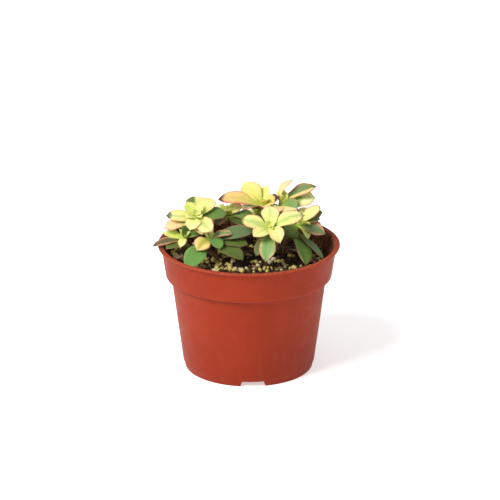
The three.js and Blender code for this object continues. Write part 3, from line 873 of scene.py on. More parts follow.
def fibre(rng):
    """One fibre: a point that walks forward while its heading drifts, laid on the bed, as a thin tube."""
    start = strewn(1, int(rng.integers(1 << 30)), SOIL_EDGE_RADIUS - 8)[0]
    step = rng.uniform(5, 15) / FIBRE_STEPS
    heading = rng.uniform(0, 2 * np.pi) + np.cumsum(rng.normal(0, 0.3, FIBRE_STEPS))
    x = start[0] + np.cumsum(np.cos(heading)) * step
    y = start[1] + np.cumsum(np.sin(heading)) * step
    line = on_bed(x, y)
    line[:, 2] += 0.5 + rng.uniform(0, 0.8) * np.sin(np.linspace(0, np.pi, FIBRE_STEPS))
    thick = rng.uniform(0.1, 0.28) * (1 - 0.6 * np.linspace(0, 1, FIBRE_STEPS))[:, None]
    aside = np.stack([-np.sin(heading), np.cos(heading), 0 * heading], -1)[:, None]
    rings = carried(line, thick, turns(FIBRE_SIDES), aside, np.array([0, 0, 1.0]))
    tint = np.full((FIBRE_STEPS, FIBRE_SIDES, 3), rng.uniform(0, 1))
    return tube(rings, line[0], line[-1], tint=tint)


def fibre_finish():
    """Straw to dark brown by each fibre's tint, with fine bands along it."""
    made, tree, shader, where = new_material("coir_fibre")
    shade = sums(tree, "POWER", painted(tree, "tint")["Fac"], 1.6)
    bands = use(tree, MOTTLING, where, Scale=900.0, High=0.45)
    colour = mixed(tree, shade, FIBRE_DARK, FIBRE_STRAW)
    feed(tree, shader, {"Base Color": mixed(tree, bands, colour, FIBRE_BAND), "Roughness": 0.8})
    return made


fibre_rng = np.random.default_rng(31)
fibres = joined([fibre(fibre_rng) for _ in range(FIBRES)])
as_piece("coir_fibres", fibres, [fibre_finish()])

# %% [markdown]
# A flake of bark lies on the bed by the left edge, and a few dead leaves have dropped and curled. Both are
# thin curled sheets with a ragged outline. A sheet is worked out as a closed pillow: the same outline above
# and below, meeting at the edge, curled by bending its height with the square of the distance from its
# spine.

# %% Flakes and dead leaves
FLAKE_RINGS = 14
FLAKE_SIDES = 40


def flake(length, width, thick, curl, place, heading, tilt, seed):
    """A curled sheet: an ellipse of the given length and width whose edge wanders, bent about its long axis.

    The height is curl times the square of the sideways place, plus waves along it. Above and below are half
    the thickness apart from it, times the root of one less the fourth power of the share of the radius. The
    sheet is then tilted about its width and turned to its heading, both in degrees.
    """
    rng = np.random.default_rng(seed)
    turn = turns(FLAKE_SIDES)
    ragged = 1 + sum(rng.uniform(0.02, 0.07) * np.cos(k * turn + rng.uniform(0, 6.3)) for k in (2, 3, 5, 8))
    polar = np.linspace(0.08, np.pi - 0.08, FLAKE_RINGS)[:, None]
    share = np.sin(polar)
    x = length / 2 * share * ragged * np.cos(turn)
    y = width / 2 * share * ragged * np.sin(turn)
    skin = thick / 2 * np.sign(np.cos(polar)) * np.sqrt(np.clip(1 - share**4, 0, 1))
    wave = 0.5 * np.sin(1.1 * x + seed) + 0.3 * lattice_noise(x + 50, y + 50, 2.0, seed)
    points = np.stack([x, y, curl * y**2 + wave * min(1, length / 12) + skin], -1)
    c, s = math.cos(math.radians(tilt)), math.sin(math.radians(tilt))
    points = points @ np.array([[c, 0, -s], [0, 1, 0], [s, 0, c]])
    c, s = math.cos(math.radians(heading)), math.sin(math.radians(heading))
    points = points @ np.array([[c, s, 0], [-s, c, 0], [0, 0, 1]]) + place
    return tube(points, tint=np.full((*points.shape[:2], 3), rng.uniform(0, 1)))


def flake_finish(name, dark, light, grain_scale):
    """Weathered layers: stretched bands of two browns, deepened in the pits of a rough grain."""
    made, tree, shader, where = new_material(name)
    layers = noise(tree, stretched(tree, where, 0.35, 1.0, 2.6), grain_scale, detail=5.0, roughness=0.65)
    shade = sums(tree, "MULTIPLY_ADD", painted(tree, "tint")["Fac"], 0.25, layers)
    colour = mixed(tree, span(tree, shade, 0.35, 0.85), dark, light)
    pits = use(tree, GRIT, where, Scale=1500.0, Cover=0.17)
    feed(tree, shader, {
        "Base Color": laid(tree, colour, PEAT_BROWN, pits, 0.6),
        "Roughness": 0.85,
        "Normal": bump(tree, layers, strength=0.9, distance=0.0005),
    })
    return made


BARK_PLACE = (-58.0, -4.0)
BARK_THICKNESS = 3.0
BARK_SEAT = 2.35 + BARK_THICKNESS / 2
bark_place = [*BARK_PLACE, soil_top(*BARK_PLACE) + BARK_SEAT]
bark = flake(13, 10, BARK_THICKNESS, curl=0.09, place=bark_place, heading=25, tilt=20, seed=41)
bark_finish = flake_finish("weathered_bark", screen(190, 132, 106), screen(255, 224, 198), 420.0)
as_piece("bark_flake", bark, [bark_finish], ["bark_chip"])

# Each dead leaf is its place on the bed, length, width and heading in degrees.
DEAD_LEAVES = [
    (26, -24, 8, 3.4, 20), (53, -8, 9, 3.6, -30), (56, 2, 7, 3.0, 60), (-14, -44, 6, 2.6, 100),
    (38, -40, 6.5, 2.8, -15), (-40, -36, 5.5, 2.4, 50), (4, -20, 8, 3.2, 150), (-8, 66, 8, 3.4, 10),
    (60, 22, 7, 3.0, 80), (-62, 14, 7.5, 3.2, -70), (-30, 58, 6, 2.8, 35), (34, 12, 7, 3.0, 5),
]
DEAD_LEAF_THICKNESS = 0.5
DEAD_LEAF_CURL = 0.22
DEAD_LEAF_TILT = math.degrees(0.12)
dead = []
for order, (x, y, length, width, heading) in enumerate(DEAD_LEAVES):
    place = [x, y, soil_top(x, y) + 1.3]
    sheet = (length, width, DEAD_LEAF_THICKNESS, DEAD_LEAF_CURL)
    dead.append(flake(*sheet, place, heading, DEAD_LEAF_TILT, seed=50 + order))
dead_finish = flake_finish("dead_leaf", screen(92, 52, 40), screen(196, 142, 116), 700.0)
as_piece("dead_leaves", joined(dead), [dead_finish])

# %% [markdown]
# The plant itself is eleven shoots. Each rosette has a short core that ends just above the rosette's centre
# and leans out of the pot, and each leaf is given by its tip, its width, how much it arches, cups and
# rolls, how far below the centre it is rooted, and its colouring. These are the sizes of the model's own
# leaves, so a fine leaf lies where the plain one does.

# %% Rosettes
# A rosette is its name, its slot, its centre, the turn from +X and the angle of its lean, its core's
# radius, its stem's foot, its number of young leaves, the turn of the first one, and its outer leaves. A
# leaf is the x, y and z of its tip, its width, arch, cup, roll and drop, and its colouring.
ROSETTE_PARTS = (
    "name", "slot", "centre", "towards", "lean", "core", "foot", "inner", "phase", "leaves",
)
ROSETTES = [dict(zip(ROSETTE_PARTS, row)) for row in [
    ("left", "yellow_leaf", (-43, 3, 130), 270, 30, 3.4, (-38, 14), 5, 20, [
        (-31, 22, 140, 16, 0.1, 0.15, 0, 1.5, "cream"),
        (-46, 29, 139, 16, 0.1, 0.15, 0, 4, "patched"),
        (-53, 12, 139, 11, 0.05, 0.25, 0, 1, "lime"),
        (-69, 4, 131, 13, 0.04, 0.2, 0, 3, "smoky"),
        (-71, -2, 122, 12, 0.06, 0.2, 0, 5, "rosy"),
        (-49, -13, 124.5, 13, 0.15, 0.2, 0, 1.5, "cream"),
        (-39, -12, 120, 12, 0.15, 0.2, 0, 6, "cream"),
        (-30, -18, 124, 14, 0.15, 0.2, 20, 4, "striped"),
        (-19, 12, 131, 14, 0.1, 0.15, 0, 5, "green"),
        (-58, 31, 122, 13, 0.1, 0.15, 0, 6, "green"),
        (-36, 34, 122, 13, 0.1, 0.15, 0, 6, "deep"),
        (-61, 18, 119, 12, 0.1, 0.15, 0, 7.5, "green"),
    ]),
    ("left_low", "yellow_leaf", (-53, -6, 114), 270, 20, 2.4, (-48, 2), 2, 10, [
        (-71, 1, 117, 11, 0.06, 0.2, 0, 1.5, "lime"),
        (-55, -9, 126.5, 8, 0.05, 0.2, 0, 1, "bright"),
        (-57, -18, 111, 7, 0.2, 0.25, 0, 1, "cream"),
        (-40, -5, 118.5, 8, 0.15, 0.2, 0, 1, "green"),
        (-69, -17, 109, 8, 0.1, 0.2, 0, 5, "deep"),
        (-80, -12, 110, 9, 0.12, 0.2, 0, 4, "olive"),
    ]),
    ("middle_low", "green_leaf", (-33, -7, 113), 300, 25, 2.8, (-26, -4), 3, 60, [
        (-52, -33, 98.5, 17, 0.12, 0.1, 0, 4, "bright"),
        (-43, -22, 109.5, 14, 0.22, 0.15, 0, 0.5, "honey"),
        (-24, -25, 112, 12, 0.2, 0.15, 0, 0.5, "bright"),
        (-5, -30, 104.5, 17, 0.1, 0.15, 0, 5, "deep"),
        (-14, -12, 121, 9, 0.16, 0.2, 0, 2, "redback"),
        (4, -6, 121, 16, 0.1, 0.12, 0, 3, "blue"),
        (-1, -14, 112, 15, 0.1, 0.12, 0, 3.5, "deep"),
    ]),
    ("back_small", "yellow_leaf", (-17, 36, 121), 270, 20, 2.4, (-15, 38), 4, 120, [
        (-28, 36, 127, 12, 0.1, 0.2, 0, 2, "cream"),
        (-17, 44, 126, 8, 0.1, 0.2, 0, 1, "lime"),
        (-5, 30, 130, 9, 0.1, 0.2, 20, 1, "cream"),
        (-29, 24, 115, 11, 0.1, 0.2, 0, 2, "olive"),
        (-10, 52, 124, 10, 0.1, 0.2, 0, 3, "green"),
        (-4, 17, 118, 13, 0.1, 0.2, 0, 4, "deep"),
        (4, 22, 122.5, 12, 0.1, 0.2, 0, 3, "green"),
    ]),
    ("back_top", "yellow_leaf", (11, 31, 130), 90, 5, 3.2, (8, 30), 4, 255, [
        (-4, 41, 147, 18, 0.12, 0.12, -45, 2, "butter"),
        (-26, 32, 136, 14, 0.17, 0.2, -38, 2, "tawny"),
        (15, 40, 145, 10, 0.05, 0.25, 0, 1, "lime"),
        (25, 28, 139.5, 11, 0.05, 0.2, 50, 1, "dried"),
        (14, 12, 135, 13, 0.1, 0.2, 0, 4, "rosy"),
        (-5, 16, 132.5, 13, 0.1, 0.2, 0, 4, "redback"),
        (16, 60, 128, 13, 0.1, 0.2, 0, 3, "green"),
        (-2, 56, 124, 13, 0.12, 0.15, 0, 5.5, "striped"),
        (28, 52, 123, 12, 0.1, 0.15, 0, 6.5, "green"),
    ]),
    ("back_right", "yellow_leaf", (27, 31, 133), 60, 10, 3, (25, 36), 3, 140, [
        (37, 36, 152, 11, 0.2, 0.2, 10, 1, "peach"),
        (30, 33, 143, 11, 0.05, 0.2, 55, 1, "lime"),
        (57, 36, 146, 14, 0.05, 0.3, 30, 0, "half_green"),
        (56, 31, 137, 19, 0.1, 0.15, 42, 2, "half_cream"),
        (41, 15, 133, 16, 0.15, 0.2, 45, 4.5, "half_peach"),
        (23, 14, 130, 11, 0.15, 0.2, 0, 5, "rosy"),
        (40, 56, 130, 13, 0.1, 0.2, 0, 2, "cream"),
        (52, 48, 126, 12, 0.12, 0.15, 0, 5, "green"),
    ]),
    ("front", "yellow_leaf", (18, -10, 124), 270, 30, 3.6, (16, 2), 4, 10, [
        (18, 11, 137, 15, 0.08, 0.15, 0, 2, "veined"),
        (-6, -6, 131, 15, 0.08, 0.2, 0, 2, "striped"),
        (4, -28, 124, 13, 0.1, 0.2, 0, 3, "cream"),
        (46, -6, 135, 15, 0.15, 0.2, 0, 2, "striped"),
        (26, -27, 118, 13, 0.3, 0.3, 0, 2, "cream"),
        (14, -34, 104, 14, 0.15, 0.15, 0, 4, "edged"),
        (6, -28, 107, 10, 0.1, 0.15, 0, 6, "deep"),
        (25, 12, 122, 11, 0.1, 0.15, 0, 6, "green"),
        (2, 8, 121, 11, 0.1, 0.15, 0, 6, "green"),
    ]),
    ("right", "green_leaf", (42, 11, 121), 340, 35, 3.2, (30, 14), 4, 50, [
        (60, 16, 135, 10, 0.08, 0.3, 0, 1, "flamed"),
        (64, 6, 114, 13, 0.08, 0.3, 25, 3, "redback"),
        (50, 0, 112, 9, 0.1, 0.2, 0, 2, "lime"),
        (31, 0, 115, 15, 0.1, 0.15, 0, 3, "deep"),
        (48, -19, 96, 17, 0.1, 0.15, 0, 12, "green"),
        (62, -10, 98, 10, 0.02, 0.25, 0, 7, "blue"),
        (60, 14, 125, 9, 0.1, 0.2, 0, 3, "deep"),
        (56, 30, 119, 12, 0.1, 0.15, 0, 4, "green"),
        (36, 32, 115, 12, 0.1, 0.15, 0, 5, "deep"),
    ]),
    ("rear_left", "yellow_leaf", (-40, 42, 113), 120, 20, 2.8, (-36, 40), 4, 50, [
        (-62, 34, 112, 12, 0.1, 0.2, 0, 3, "striped"),
        (-56, 52, 118, 12, 0.1, 0.2, 0, 2, "cream"),
        (-36, 64, 117, 13, 0.1, 0.2, 0, 2, "striped"),
        (-25, 54, 112, 12, 0.1, 0.2, 0, 3, "green"),
        (-50, 24, 110, 12, 0.1, 0.2, 0, 3, "deep"),
        (-24, 38, 109, 11, 0.1, 0.2, 0, 4, "deep"),
    ]),
    ("rear_right", "green_leaf", (45, 42, 114), 60, 20, 2.8, (43, 38), 4, 50, [
        (62, 34, 123.5, 13, 0.1, 0.2, 80, 2, "deep"),
        (61, 44, 110, 12, 0.1, 0.2, 0, 3, "green"),
        (52, 60, 118, 13, 0.1, 0.2, 0, 2, "cream"),
        (32, 60, 114, 12, 0.1, 0.2, 0, 3, "striped"),
        (58, 24, 113, 11, 0.1, 0.2, 0, 4, "green"),
        (30, 44, 110, 11, 0.1, 0.2, 0, 4, "deep"),
    ]),
    ("rear", "yellow_leaf", (8, 54, 112), 90, 25, 2.8, (8, 48), 4, 50, [
        (-10, 60, 114, 12, 0.1, 0.2, 0, 3, "striped"),
        (-3, 70, 113, 12, 0.1, 0.2, 0, 2, "cream"),
        (20, 68, 112, 13, 0.1, 0.2, 0, 2, "striped"),
        (26, 52, 108, 12, 0.1, 0.2, 0, 3, "green"),
    ]),
]]
print("outer leaves:", sum(len(rosette["leaves"]) for rosette in ROSETTES))
print("young leaves:", sum(rosette["inner"] for rosette in ROSETTES))

# %% [markdown]
# A variegated leaf has cells that make green and cells that don't. The green ones lie in a stripe along the
# midrib, from a hair's width to nearly the whole blade, and strong light reddens the edge. So a colouring
# is a pale colour, a green, the half width of the green stripe as a share of the blade, how strongly the
# edge blushes, and how dark the tip is.

# %% Leaf colourings
# Each is (pale colour, green, stripe, blush, dark tip), with the two colours as screen values.
COLOURINGS = {
    "cream": ((250, 240, 162), (190, 214, 92), 0.10, 0.45, 0.25),
    "veined": ((250, 246, 168), (208, 222, 124), 0.24, 0.40, 0.20),
    "butter": ((253, 224, 134), (222, 218, 100), 0.10, 0.45, 0.10),
    "young": ((238, 242, 146), (196, 222, 98), 0.16, 0.06, 0.05),
    "lime": ((224, 234, 128), (188, 220, 86), 0.20, 0.20, 0.15),
    "honey": ((252, 222, 136), (190, 182, 66), 0.40, 0.80, 0.10),
    "flamed": ((250, 236, 160), (214, 216, 116), 0.14, 1.00, 0.80),
    "striped": ((246, 238, 160), (190, 206, 120), 0.40, 0.70, 0.80),
    "smoky": ((246, 238, 154), (128, 140, 104), 0.16, 0.40, 0.90),
    "patched": ((252, 236, 158), (108, 142, 76), 0.06, 0.60, 0.20),
    "half_green": ((240, 206, 144), (122, 144, 90), 0.30, 1.00, 0.90),
    "half_cream": ((240, 240, 184), (150, 188, 88), 0.24, 0.55, 0.50),
    "half_peach": ((250, 220, 164), (130, 162, 90), 0.20, 0.80, 0.50),
    "rosy": ((248, 212, 160), (212, 194, 116), 0.10, 1.00, 0.40),
    "peach": ((247, 210, 168), (214, 210, 124), 0.14, 1.00, 0.35),
    "tawny": ((232, 192, 118), (204, 178, 96), 0.14, 1.00, 1.20),
    "dried": ((238, 206, 108), (206, 184, 86), 0.15, 0.55, 2.00),
    "edged": ((226, 214, 156), (140, 176, 104), 0.92, 0.75, 0.35),
    "green": ((178, 182, 104), (114, 146, 68), 1.32, 0.50, 0.30),
    "bright": ((150, 188, 90), (114, 158, 78), 1.40, 0.18, 0.10),
    "deep": ((150, 154, 90), (98, 116, 52), 1.42, 0.42, 0.30),
    "blue": ((168, 172, 118), (104, 126, 80), 1.45, 0.45, 0.20),
    "redback": ((206, 150, 112), (132, 152, 104), 0.80, 0.95, 0.30),
    "olive": ((168, 140, 112), (116, 100, 70), 0.80, 0.90, 1.00),
}
print("colourings:", ", ".join(COLOURINGS))

# %% [markdown]
# A leaf of this plant is a thick spoon: a narrow root, its widest place past the middle, a short curve to a
# small point, fleshy along the midrib and rounded at the edge. It could be a subdivided cage. A closed
# surface of two numbers is exact instead: s runs from root to tip, and an angle runs round the section,
# over the top and back below.

# %% Leaf surface
LEAF_THICKNESS = 2.2
TIP_THINNING = 0.45
EDGE_THICKNESS = 0.75
WIDEST = 0.62
ROOT_SHARE = 0.26
BOW = 0.9
POINT_LENGTH = 0.9
POINT_SHARE = 0.17
END_TAPER = 0.14
GROOVE = 0.28
GROOVE_WIDTH = 0.13
KEEL = 0.3
KEEL_WIDTH = 0.3
EDGE_WAVE = 0.28
OUTLINE_WAVE = 0.035
LEAF_ROWS = 30
LEAF_AROUND = 28


def half_width_share(s, end):
    """The spoon's half width: a smoothstep from the root to the widest place, then a curve to 0.

    The curve is one less the share of the way to the power 2.4, to the power 0.85, with a small point added.
    """
    rising = ROOT_SHARE + (1 - ROOT_SHARE) * smooth(s / WIDEST)
    past = np.clip((s - WIDEST) / (1 - WIDEST), 0, 1)
    spoon = np.where(s < WIDEST, rising, (1 - past**2.4) ** 0.85)
    point = POINT_SHARE * np.clip(1 - (s - 0.9) / (end - 0.9), 0, 1)
    return np.where(s > 0.9, np.maximum(spoon, point), spoon)


def leaf_setting(centre, axis, leaf):
    """What a leaf's surface needs: its root, its reach to the tip, and three directions at right angles.

    The root lies on the axis below the centre. Across is the axis cross the reach, turned about the reach by
    the leaf's roll, and rise is the reach's direction cross across.
    """
    x, y, z, width, arch, cup, roll, drop = leaf[:8]
    root = centre - axis * drop
    reach = np.array([x, y, z]) - root
    along = unit(reach)
    flat = unit(np.cross(axis, along))
    lean = math.radians(roll)
    across = flat * math.cos(lean) + np.cross(along, flat) * math.sin(lean)
    length = float(np.linalg.norm(reach))
    return {
        "root": root, "reach": reach, "along": along, "across": across, "rise": np.cross(along, across),
        "length": length, "width": width, "arch": arch, "cup": cup, "end": 1 + POINT_LENGTH / length,
    }


def leaf_points(setting, s, around, wander):
    """Points of the leaf at s along it and at an angle around its section.

    The midrib is the root plus s times the reach, bowed up by the arch times the length times the sine of pi
    times s to the power 0.9. Sideways a point stands at the half width times the cosine of the angle. It
    stands above the midrib by the cup times the half width times the sideways share to the power 1.5, and
    then by half the thickness, up or down with the sine of the angle. Wander shifts the waves of the outline
    and of the two edges, and lets the tip droop.
    """
    side = np.cos(around)
    edge = np.abs(side)
    bow = np.pi * s**BOW
    height = setting["arch"] * setting["length"] * np.sin(bow)
    middle = setting["root"] + setting["reach"] * s[..., None] + setting["rise"] * height[..., None]
    slope = BOW * np.pi * setting["arch"] * np.cos(bow) * np.maximum(s, 0.05) ** (BOW - 1)
    normal = unit(setting["rise"] - setting["along"] * slope[..., None])
    outline = 1 + OUTLINE_WAVE * np.sin(2 * np.pi * (2.3 * s + wander[0]) + 0.5 * side)
    half = setting["width"] / 2 * half_width_share(s, setting["end"]) * outline
    taper = np.sqrt(np.clip((setting["end"] - s) / END_TAPER, 0.02, 1))
    fleshy = EDGE_THICKNESS + (LEAF_THICKNESS * (1 - TIP_THINNING * s) - EDGE_THICKNESS) * (1 - edge**1.7)
    skin = fleshy / 2 * taper * np.sqrt(np.clip(1 - edge**7, 0, 1)) * np.sign(np.sin(around))
    groove = -GROOVE * np.exp(-((side / GROOVE_WIDTH) ** 2)) * smooth(s / 0.15) * taper * (1 - 0.7 * s)
    keel = -KEEL * np.exp(-((side / KEEL_WIDTH) ** 2)) * taper
    midrib = np.where(np.sin(around) > 0, groove, keel)
    own_wave = np.where(side > 0, wander[1], wander[2])
    ripple = EDGE_WAVE * edge**3 * np.sin(2 * np.pi * (1.9 * s + own_wave))
    droop = -wander[3] * np.clip((s - 0.72) / 0.28, 0, 2) ** 2
    lift = setting["cup"] * half * edge**1.5 + skin + midrib + ripple + droop
    return middle + setting["across"] * (half * side)[..., None] + normal * lift[..., None]


# %% Leaf paint
def light(colour):
    """A screen colour's red, green and blue as linear light, in an array."""
    return np.array(screen(*colour)[:3])


def stripe_share(s, side, name, stripe):
    """The green stripe's half width at each point. Some colourings have green on one part of the blade."""
    if name == "patched":
        return stripe + 1.3 * smooth((s - 0.5) / 0.3) * smooth((side + 0.1) / 0.4)
    if name == "smoky":
        return stripe + 1.1 * smooth((s - 0.80) / 0.1)
    if name == "half_green":
        return stripe + 1.1 * smooth((side + 0.1) / 0.35)
    if name == "half_peach":
        return stripe + 1.1 * smooth((side + 0.2) / 0.5)
    if name == "half_cream":
        return stripe + 1.2 * smooth((0.68 - s) / 0.35)
    return np.full(np.broadcast(s, side).shape, stripe)


def blush_share(s, side, name, blush):
    """How strongly each point blushes. Some colourings redden most on one of their two edges."""
    if name in ("tawny", "redback", "half_green"):
        return blush * (1 + 0.9 * smooth((side + 0.2) / 0.6) * smooth((s - 0.1) / 0.3))
    return np.full(np.broadcast(s, side).shape, blush)


def leaf_shape(centre, axis, leaf, rng):
    """One closed leaf with the paint that its material reads: two colours, its marks and its underside."""
    setting = leaf_setting(centre, axis, leaf)
    pale, green, stripe, blush, tip = COLOURINGS[leaf[8]]
    wander = [*rng.uniform(0, 1, 3), rng.uniform(-0.2, 0.9)]
    along = setting["end"] * (1 - (1 - np.linspace(0, 1, LEAF_ROWS)) ** 1.35)
    s, around = np.broadcast_arrays(along[:, None], turns(LEAF_AROUND))
    side = np.cos(around)
    shade = rng.uniform(0.93, 1.05) * np.ones((*s.shape, 1))
    blushing = blush_share(s, side, leaf[8], blush)
    marks = [stripe_share(s, side, leaf[8], stripe), blushing, 0 * s + tip, 0 * s + rng.uniform(0, 1)]
    shape = tube(
        leaf_points(setting, s, around, wander),
        pale=light(pale) * shade,
        green=light(green) * shade,
        marks=np.stack(marks, -1),
        under=smooth(0.5 - 4 * np.sin(around))[..., None],
        uv=np.stack([(side + 1) / 2, np.clip(s / setting["end"], 0, 1)], -1),
    )
    return shape, setting, wander


# %% [markdown]
# The edge of each leaf carries a row of fine pale hairs, which botanists call cilia. Particle hair would not
# be part of the mesh, so each hair is a needle with three sides. A blade has close to ninety, placed along
# both edges by the leaf's own surface, pointing out and a little forward.

# %% Edge hairs
HAIRS_PER_EDGE = 44
HAIRS_FROM = 0.3
HAIRS_TO = 0.985
HAIR_WIDTH = 0.11
HAIR_ROOT = 0.12


def edge_hairs(setting, wander, pale, rng):
    """Needles along both edges. A needle is a triangle round its foot, and a tip at its length away.

    A needle has every kind of paint that a leaf has, so that both can be joined, but only reads the pale.
    """
    count = 2 * HAIRS_PER_EDGE
    s = np.tile(np.linspace(HAIRS_FROM, HAIRS_TO, HAIRS_PER_EDGE), 2) + rng.uniform(-0.006, 0.006, count)
    around = np.repeat([0.0, np.pi], HAIRS_PER_EDGE)
    foot = leaf_points(setting, s, around, wander)
    inward = leaf_points(setting, s, np.where(around < 1, 0.5, np.pi - 0.5), wander)
    out = unit(foot - inward)
    forward = setting["along"] * rng.uniform(0.3, 0.8, (count, 1))
    towards = unit(out + forward + rng.normal(0, 0.15, (count, 3)))
    tip = foot + towards * rng.uniform(0.35, 0.75, (count, 1))
    first = unit(np.cross(towards, setting["rise"]))[:, None]
    second = np.cross(towards[:, None], first)
    width = np.full((1, 3), HAIR_WIDTH / 2)
    base = carried(foot - HAIR_ROOT * out, width, turns(3), first, second)
    points = np.concatenate([base, tip[:, None]], 1).reshape(-1, 3)
    sides = np.array([[0, 1, 3], [1, 2, 3], [2, 0, 3], [0, 2, 1]])
    quads, sides = outward(points[:4], np.zeros((0, 4), int), sides)
    hairs = {"points": points, "quads": quads, "tris": copies(sides, count, 4)}
    hairs["pale"] = np.tile(pale, (4 * count, 1))
    for unread, wide in (("green", 3), ("marks", 4), ("under", 1), ("uv", 2)):
        hairs[unread] = np.zeros((4 * count, wide))
    return hairs


# %% [markdown]
# The finish of a leaf follows its surface, so it reads the leaf's own map, across the blade and along it.
# Noise that is stretched along the blade breaks the green stripe into streaks. The blush is soft and wide
# in pink, with a thin deep red line at the very edge. Light sinks a little into the flesh, which keeps pale
# leaves bright.

# %% Leaf finish
LIME_BASE = screen(206, 230, 92)
PEACH = screen(244, 196, 136)
BLUSH_PINK = screen(220, 134, 108)
BLUSH_RED = screen(150, 58, 50)
TIP_BROWN = screen(80, 42, 32)
UNDER_TINT = screen(214, 206, 160)
FLESH_DEPTH = (1.0, 0.75, 0.25)
# Factors that a colour is multiplied by: where green lies thick, where pink lies over it, and in its clouds.
DEEPER = (0.66, 0.74, 0.6, 1)
REDDER = (1.0, 0.5, 0.46, 1)
CLOUDED = (0.87, 0.9, 0.82, 1)
HAIR_BLEACHED = screen(244, 226, 204)


def leaf_map(tree):
    """What the leaf's finish reads: places on the blade, its painted marks and three streaked noises."""
    place = add(tree, "ShaderNodeUVMap", uv_map="blade").outputs["UV"]
    flat = add(tree, "ShaderNodeSeparateXYZ", {"Vector": place}).outputs
    marks = channels(tree, "marks")
    leaf = {
        "side": sums(tree, "ABSOLUTE", sums(tree, "MULTIPLY_ADD", flat["X"], 2.0, -1.0)),
        "along": flat["Y"],
        "pale": painted(tree, "pale")["Color"],
        "green": painted(tree, "green")["Color"],
        "under": painted(tree, "under")["Fac"],
        "stripe": marks["Red"],
        "blush": marks["Green"],
        "tip": marks["Blue"],
    }
    seed = times(tree, painted(tree, "marks")["Alpha"], 40.0)
    for name, stretch, scale in (("broad", 3.0, 2.0), ("threads", 26.0, 1.6), ("patches", 1.5, 5.0)):
        across = times(tree, flat["X"], stretch)
        at = add(tree, "ShaderNodeCombineXYZ", {"X": across, "Y": flat["Y"], "Z": seed}).outputs[0]
        leaf[name] = noise(tree, at, scale, detail=4.0, roughness=0.6)
    return leaf


def leaf_colour(tree, leaf):
    """Pale blade with a lime base, and over it the green, soft at its border and broken into streaks."""
    along = leaf["along"]
    threads = leaf["threads"]
    pale = mixed(tree, span(tree, along, 0.75, 0.08, 0.0, 0.72), leaf["pale"], LIME_BASE)
    pale = mixed(tree, span(tree, threads, 0.42, 0.72, 0.0, 0.22), pale, leaf["green"])
    outer = span(tree, leaf["side"], 0.35, 1.0)
    warmed = times(tree, outer, span(tree, along, 0.25, 0.9, 0.1, 0.75))
    pale = laid(tree, pale, PEACH, warmed, sums(tree, "ADD", leaf["blush"], 0.2))
    jagged = sums(tree, "MULTIPLY_ADD", threads, 0.40, times(tree, leaf["broad"], 0.8))
    narrowing = span(tree, along, 0.35, 1.0, 1.0, 0.75)
    reach = sums(tree, "MULTIPLY_ADD", leaf["stripe"], narrowing, sums(tree, "SUBTRACT", jagged, 0.6))
    covered = span(tree, sums(tree, "SUBTRACT", leaf["side"], reach), 0.30, -0.34)
    shown = times(tree, covered, span(tree, leaf["stripe"], 0.0, 0.6, 0.45, 1.0))
    deeper = mixed(tree, 1.0, leaf["green"], DEEPER, "MULTIPLY")
    green = mixed(tree, span(tree, threads, 0.35, 0.7, 0.0, 0.8), leaf["green"], deeper)
    green = mixed(tree, span(tree, along, 0.5, 0.05, 0.0, 0.3), green, LIME_BASE)
    return mixed(tree, shown, pale, green)


def leaf_blush(tree, leaf, colour):
    """Soft pink at the margin, wider to the tip, then a patchy red line on the edge and the dark tip."""
    along = leaf["along"]
    side = leaf["side"]
    blush = leaf["blush"]
    near_tip = span(tree, along, 0.62, 1.0, 0.0, 0.26)
    width = sums(tree, "ADD", sums(tree, "MULTIPLY_ADD", blush, 0.20, 0.04), near_tip)
    start = sums(tree, "SUBTRACT", 1.0, times(tree, width, sums(tree, "ADD", leaf["broad"], 0.6)))
    soft = add(tree, "ShaderNodeMapRange", {"Value": side, "From Min": start, "From Max": 1.0}).outputs[0]
    patchy = span(tree, leaf["patches"], 0.38, 0.60, 0.2, 1.15)
    redder = mixed(tree, 1.0, colour, REDDER, "MULTIPLY")
    pink = mixed(tree, 0.45, redder, BLUSH_PINK)
    colour = mixed(tree, times(tree, soft, patchy, blush), colour, pink)
    older = span(tree, along, 0.2, 0.7, 0.1, 1.0)
    line = times(tree, span(tree, side, 0.84, 0.98), blush, 0.95, patchy, older)
    colour = mixed(tree, line, colour, BLUSH_RED)
    end = along
    for mark, share in (("broad", 0.14), ("side", 0.06), ("tip", 0.10)):
        end = sums(tree, "MULTIPLY_ADD", leaf[mark], share, end)
    return laid(tree, colour, TIP_BROWN, span(tree, end, 1.02, 1.14), leaf["tip"])


def leaf_finish():
    """Pale blade, streaked green, blushing edge, dark tip, dull underside and a waxy skin with fine ribs."""
    made, tree, shader, where = new_material("kiwi_leaf")
    leaf = leaf_map(tree)
    colour = leaf_blush(tree, leaf, leaf_colour(tree, leaf))
    colour = mixed(tree, times(tree, leaf["under"], 0.6), colour, UNDER_TINT, "MULTIPLY")
    cloud = use(tree, MOTTLING, where, Scale=240.0, High=0.55)
    colour = mixed(tree, cloud, colour, CLOUDED, "MULTIPLY")
    dust = use(tree, GRIT, where, Scale=1100.0, Cover=0.12)
    cells = use(tree, GRAIN, where, Scale=1300.0, Roughness=0.5)
    ribbed = sums(tree, "MULTIPLY_ADD", cells, 0.3, leaf["threads"])
    feed(tree, shader, {
        "Base Color": laid(tree, colour, BARK_CRUMB, dust, 0.3),
        "Roughness": use(tree, MOTTLING, where, Scale=260.0, Low=0.42, High=0.58),
        "Specular IOR Level": 0.36,
        "Subsurface Weight": 0.22,
        "Subsurface Radius": FLESH_DEPTH,
        "Subsurface Scale": 0.0012,
        "Normal": bump(tree, ribbed, strength=0.35, distance=0.0002),
    })
    return made


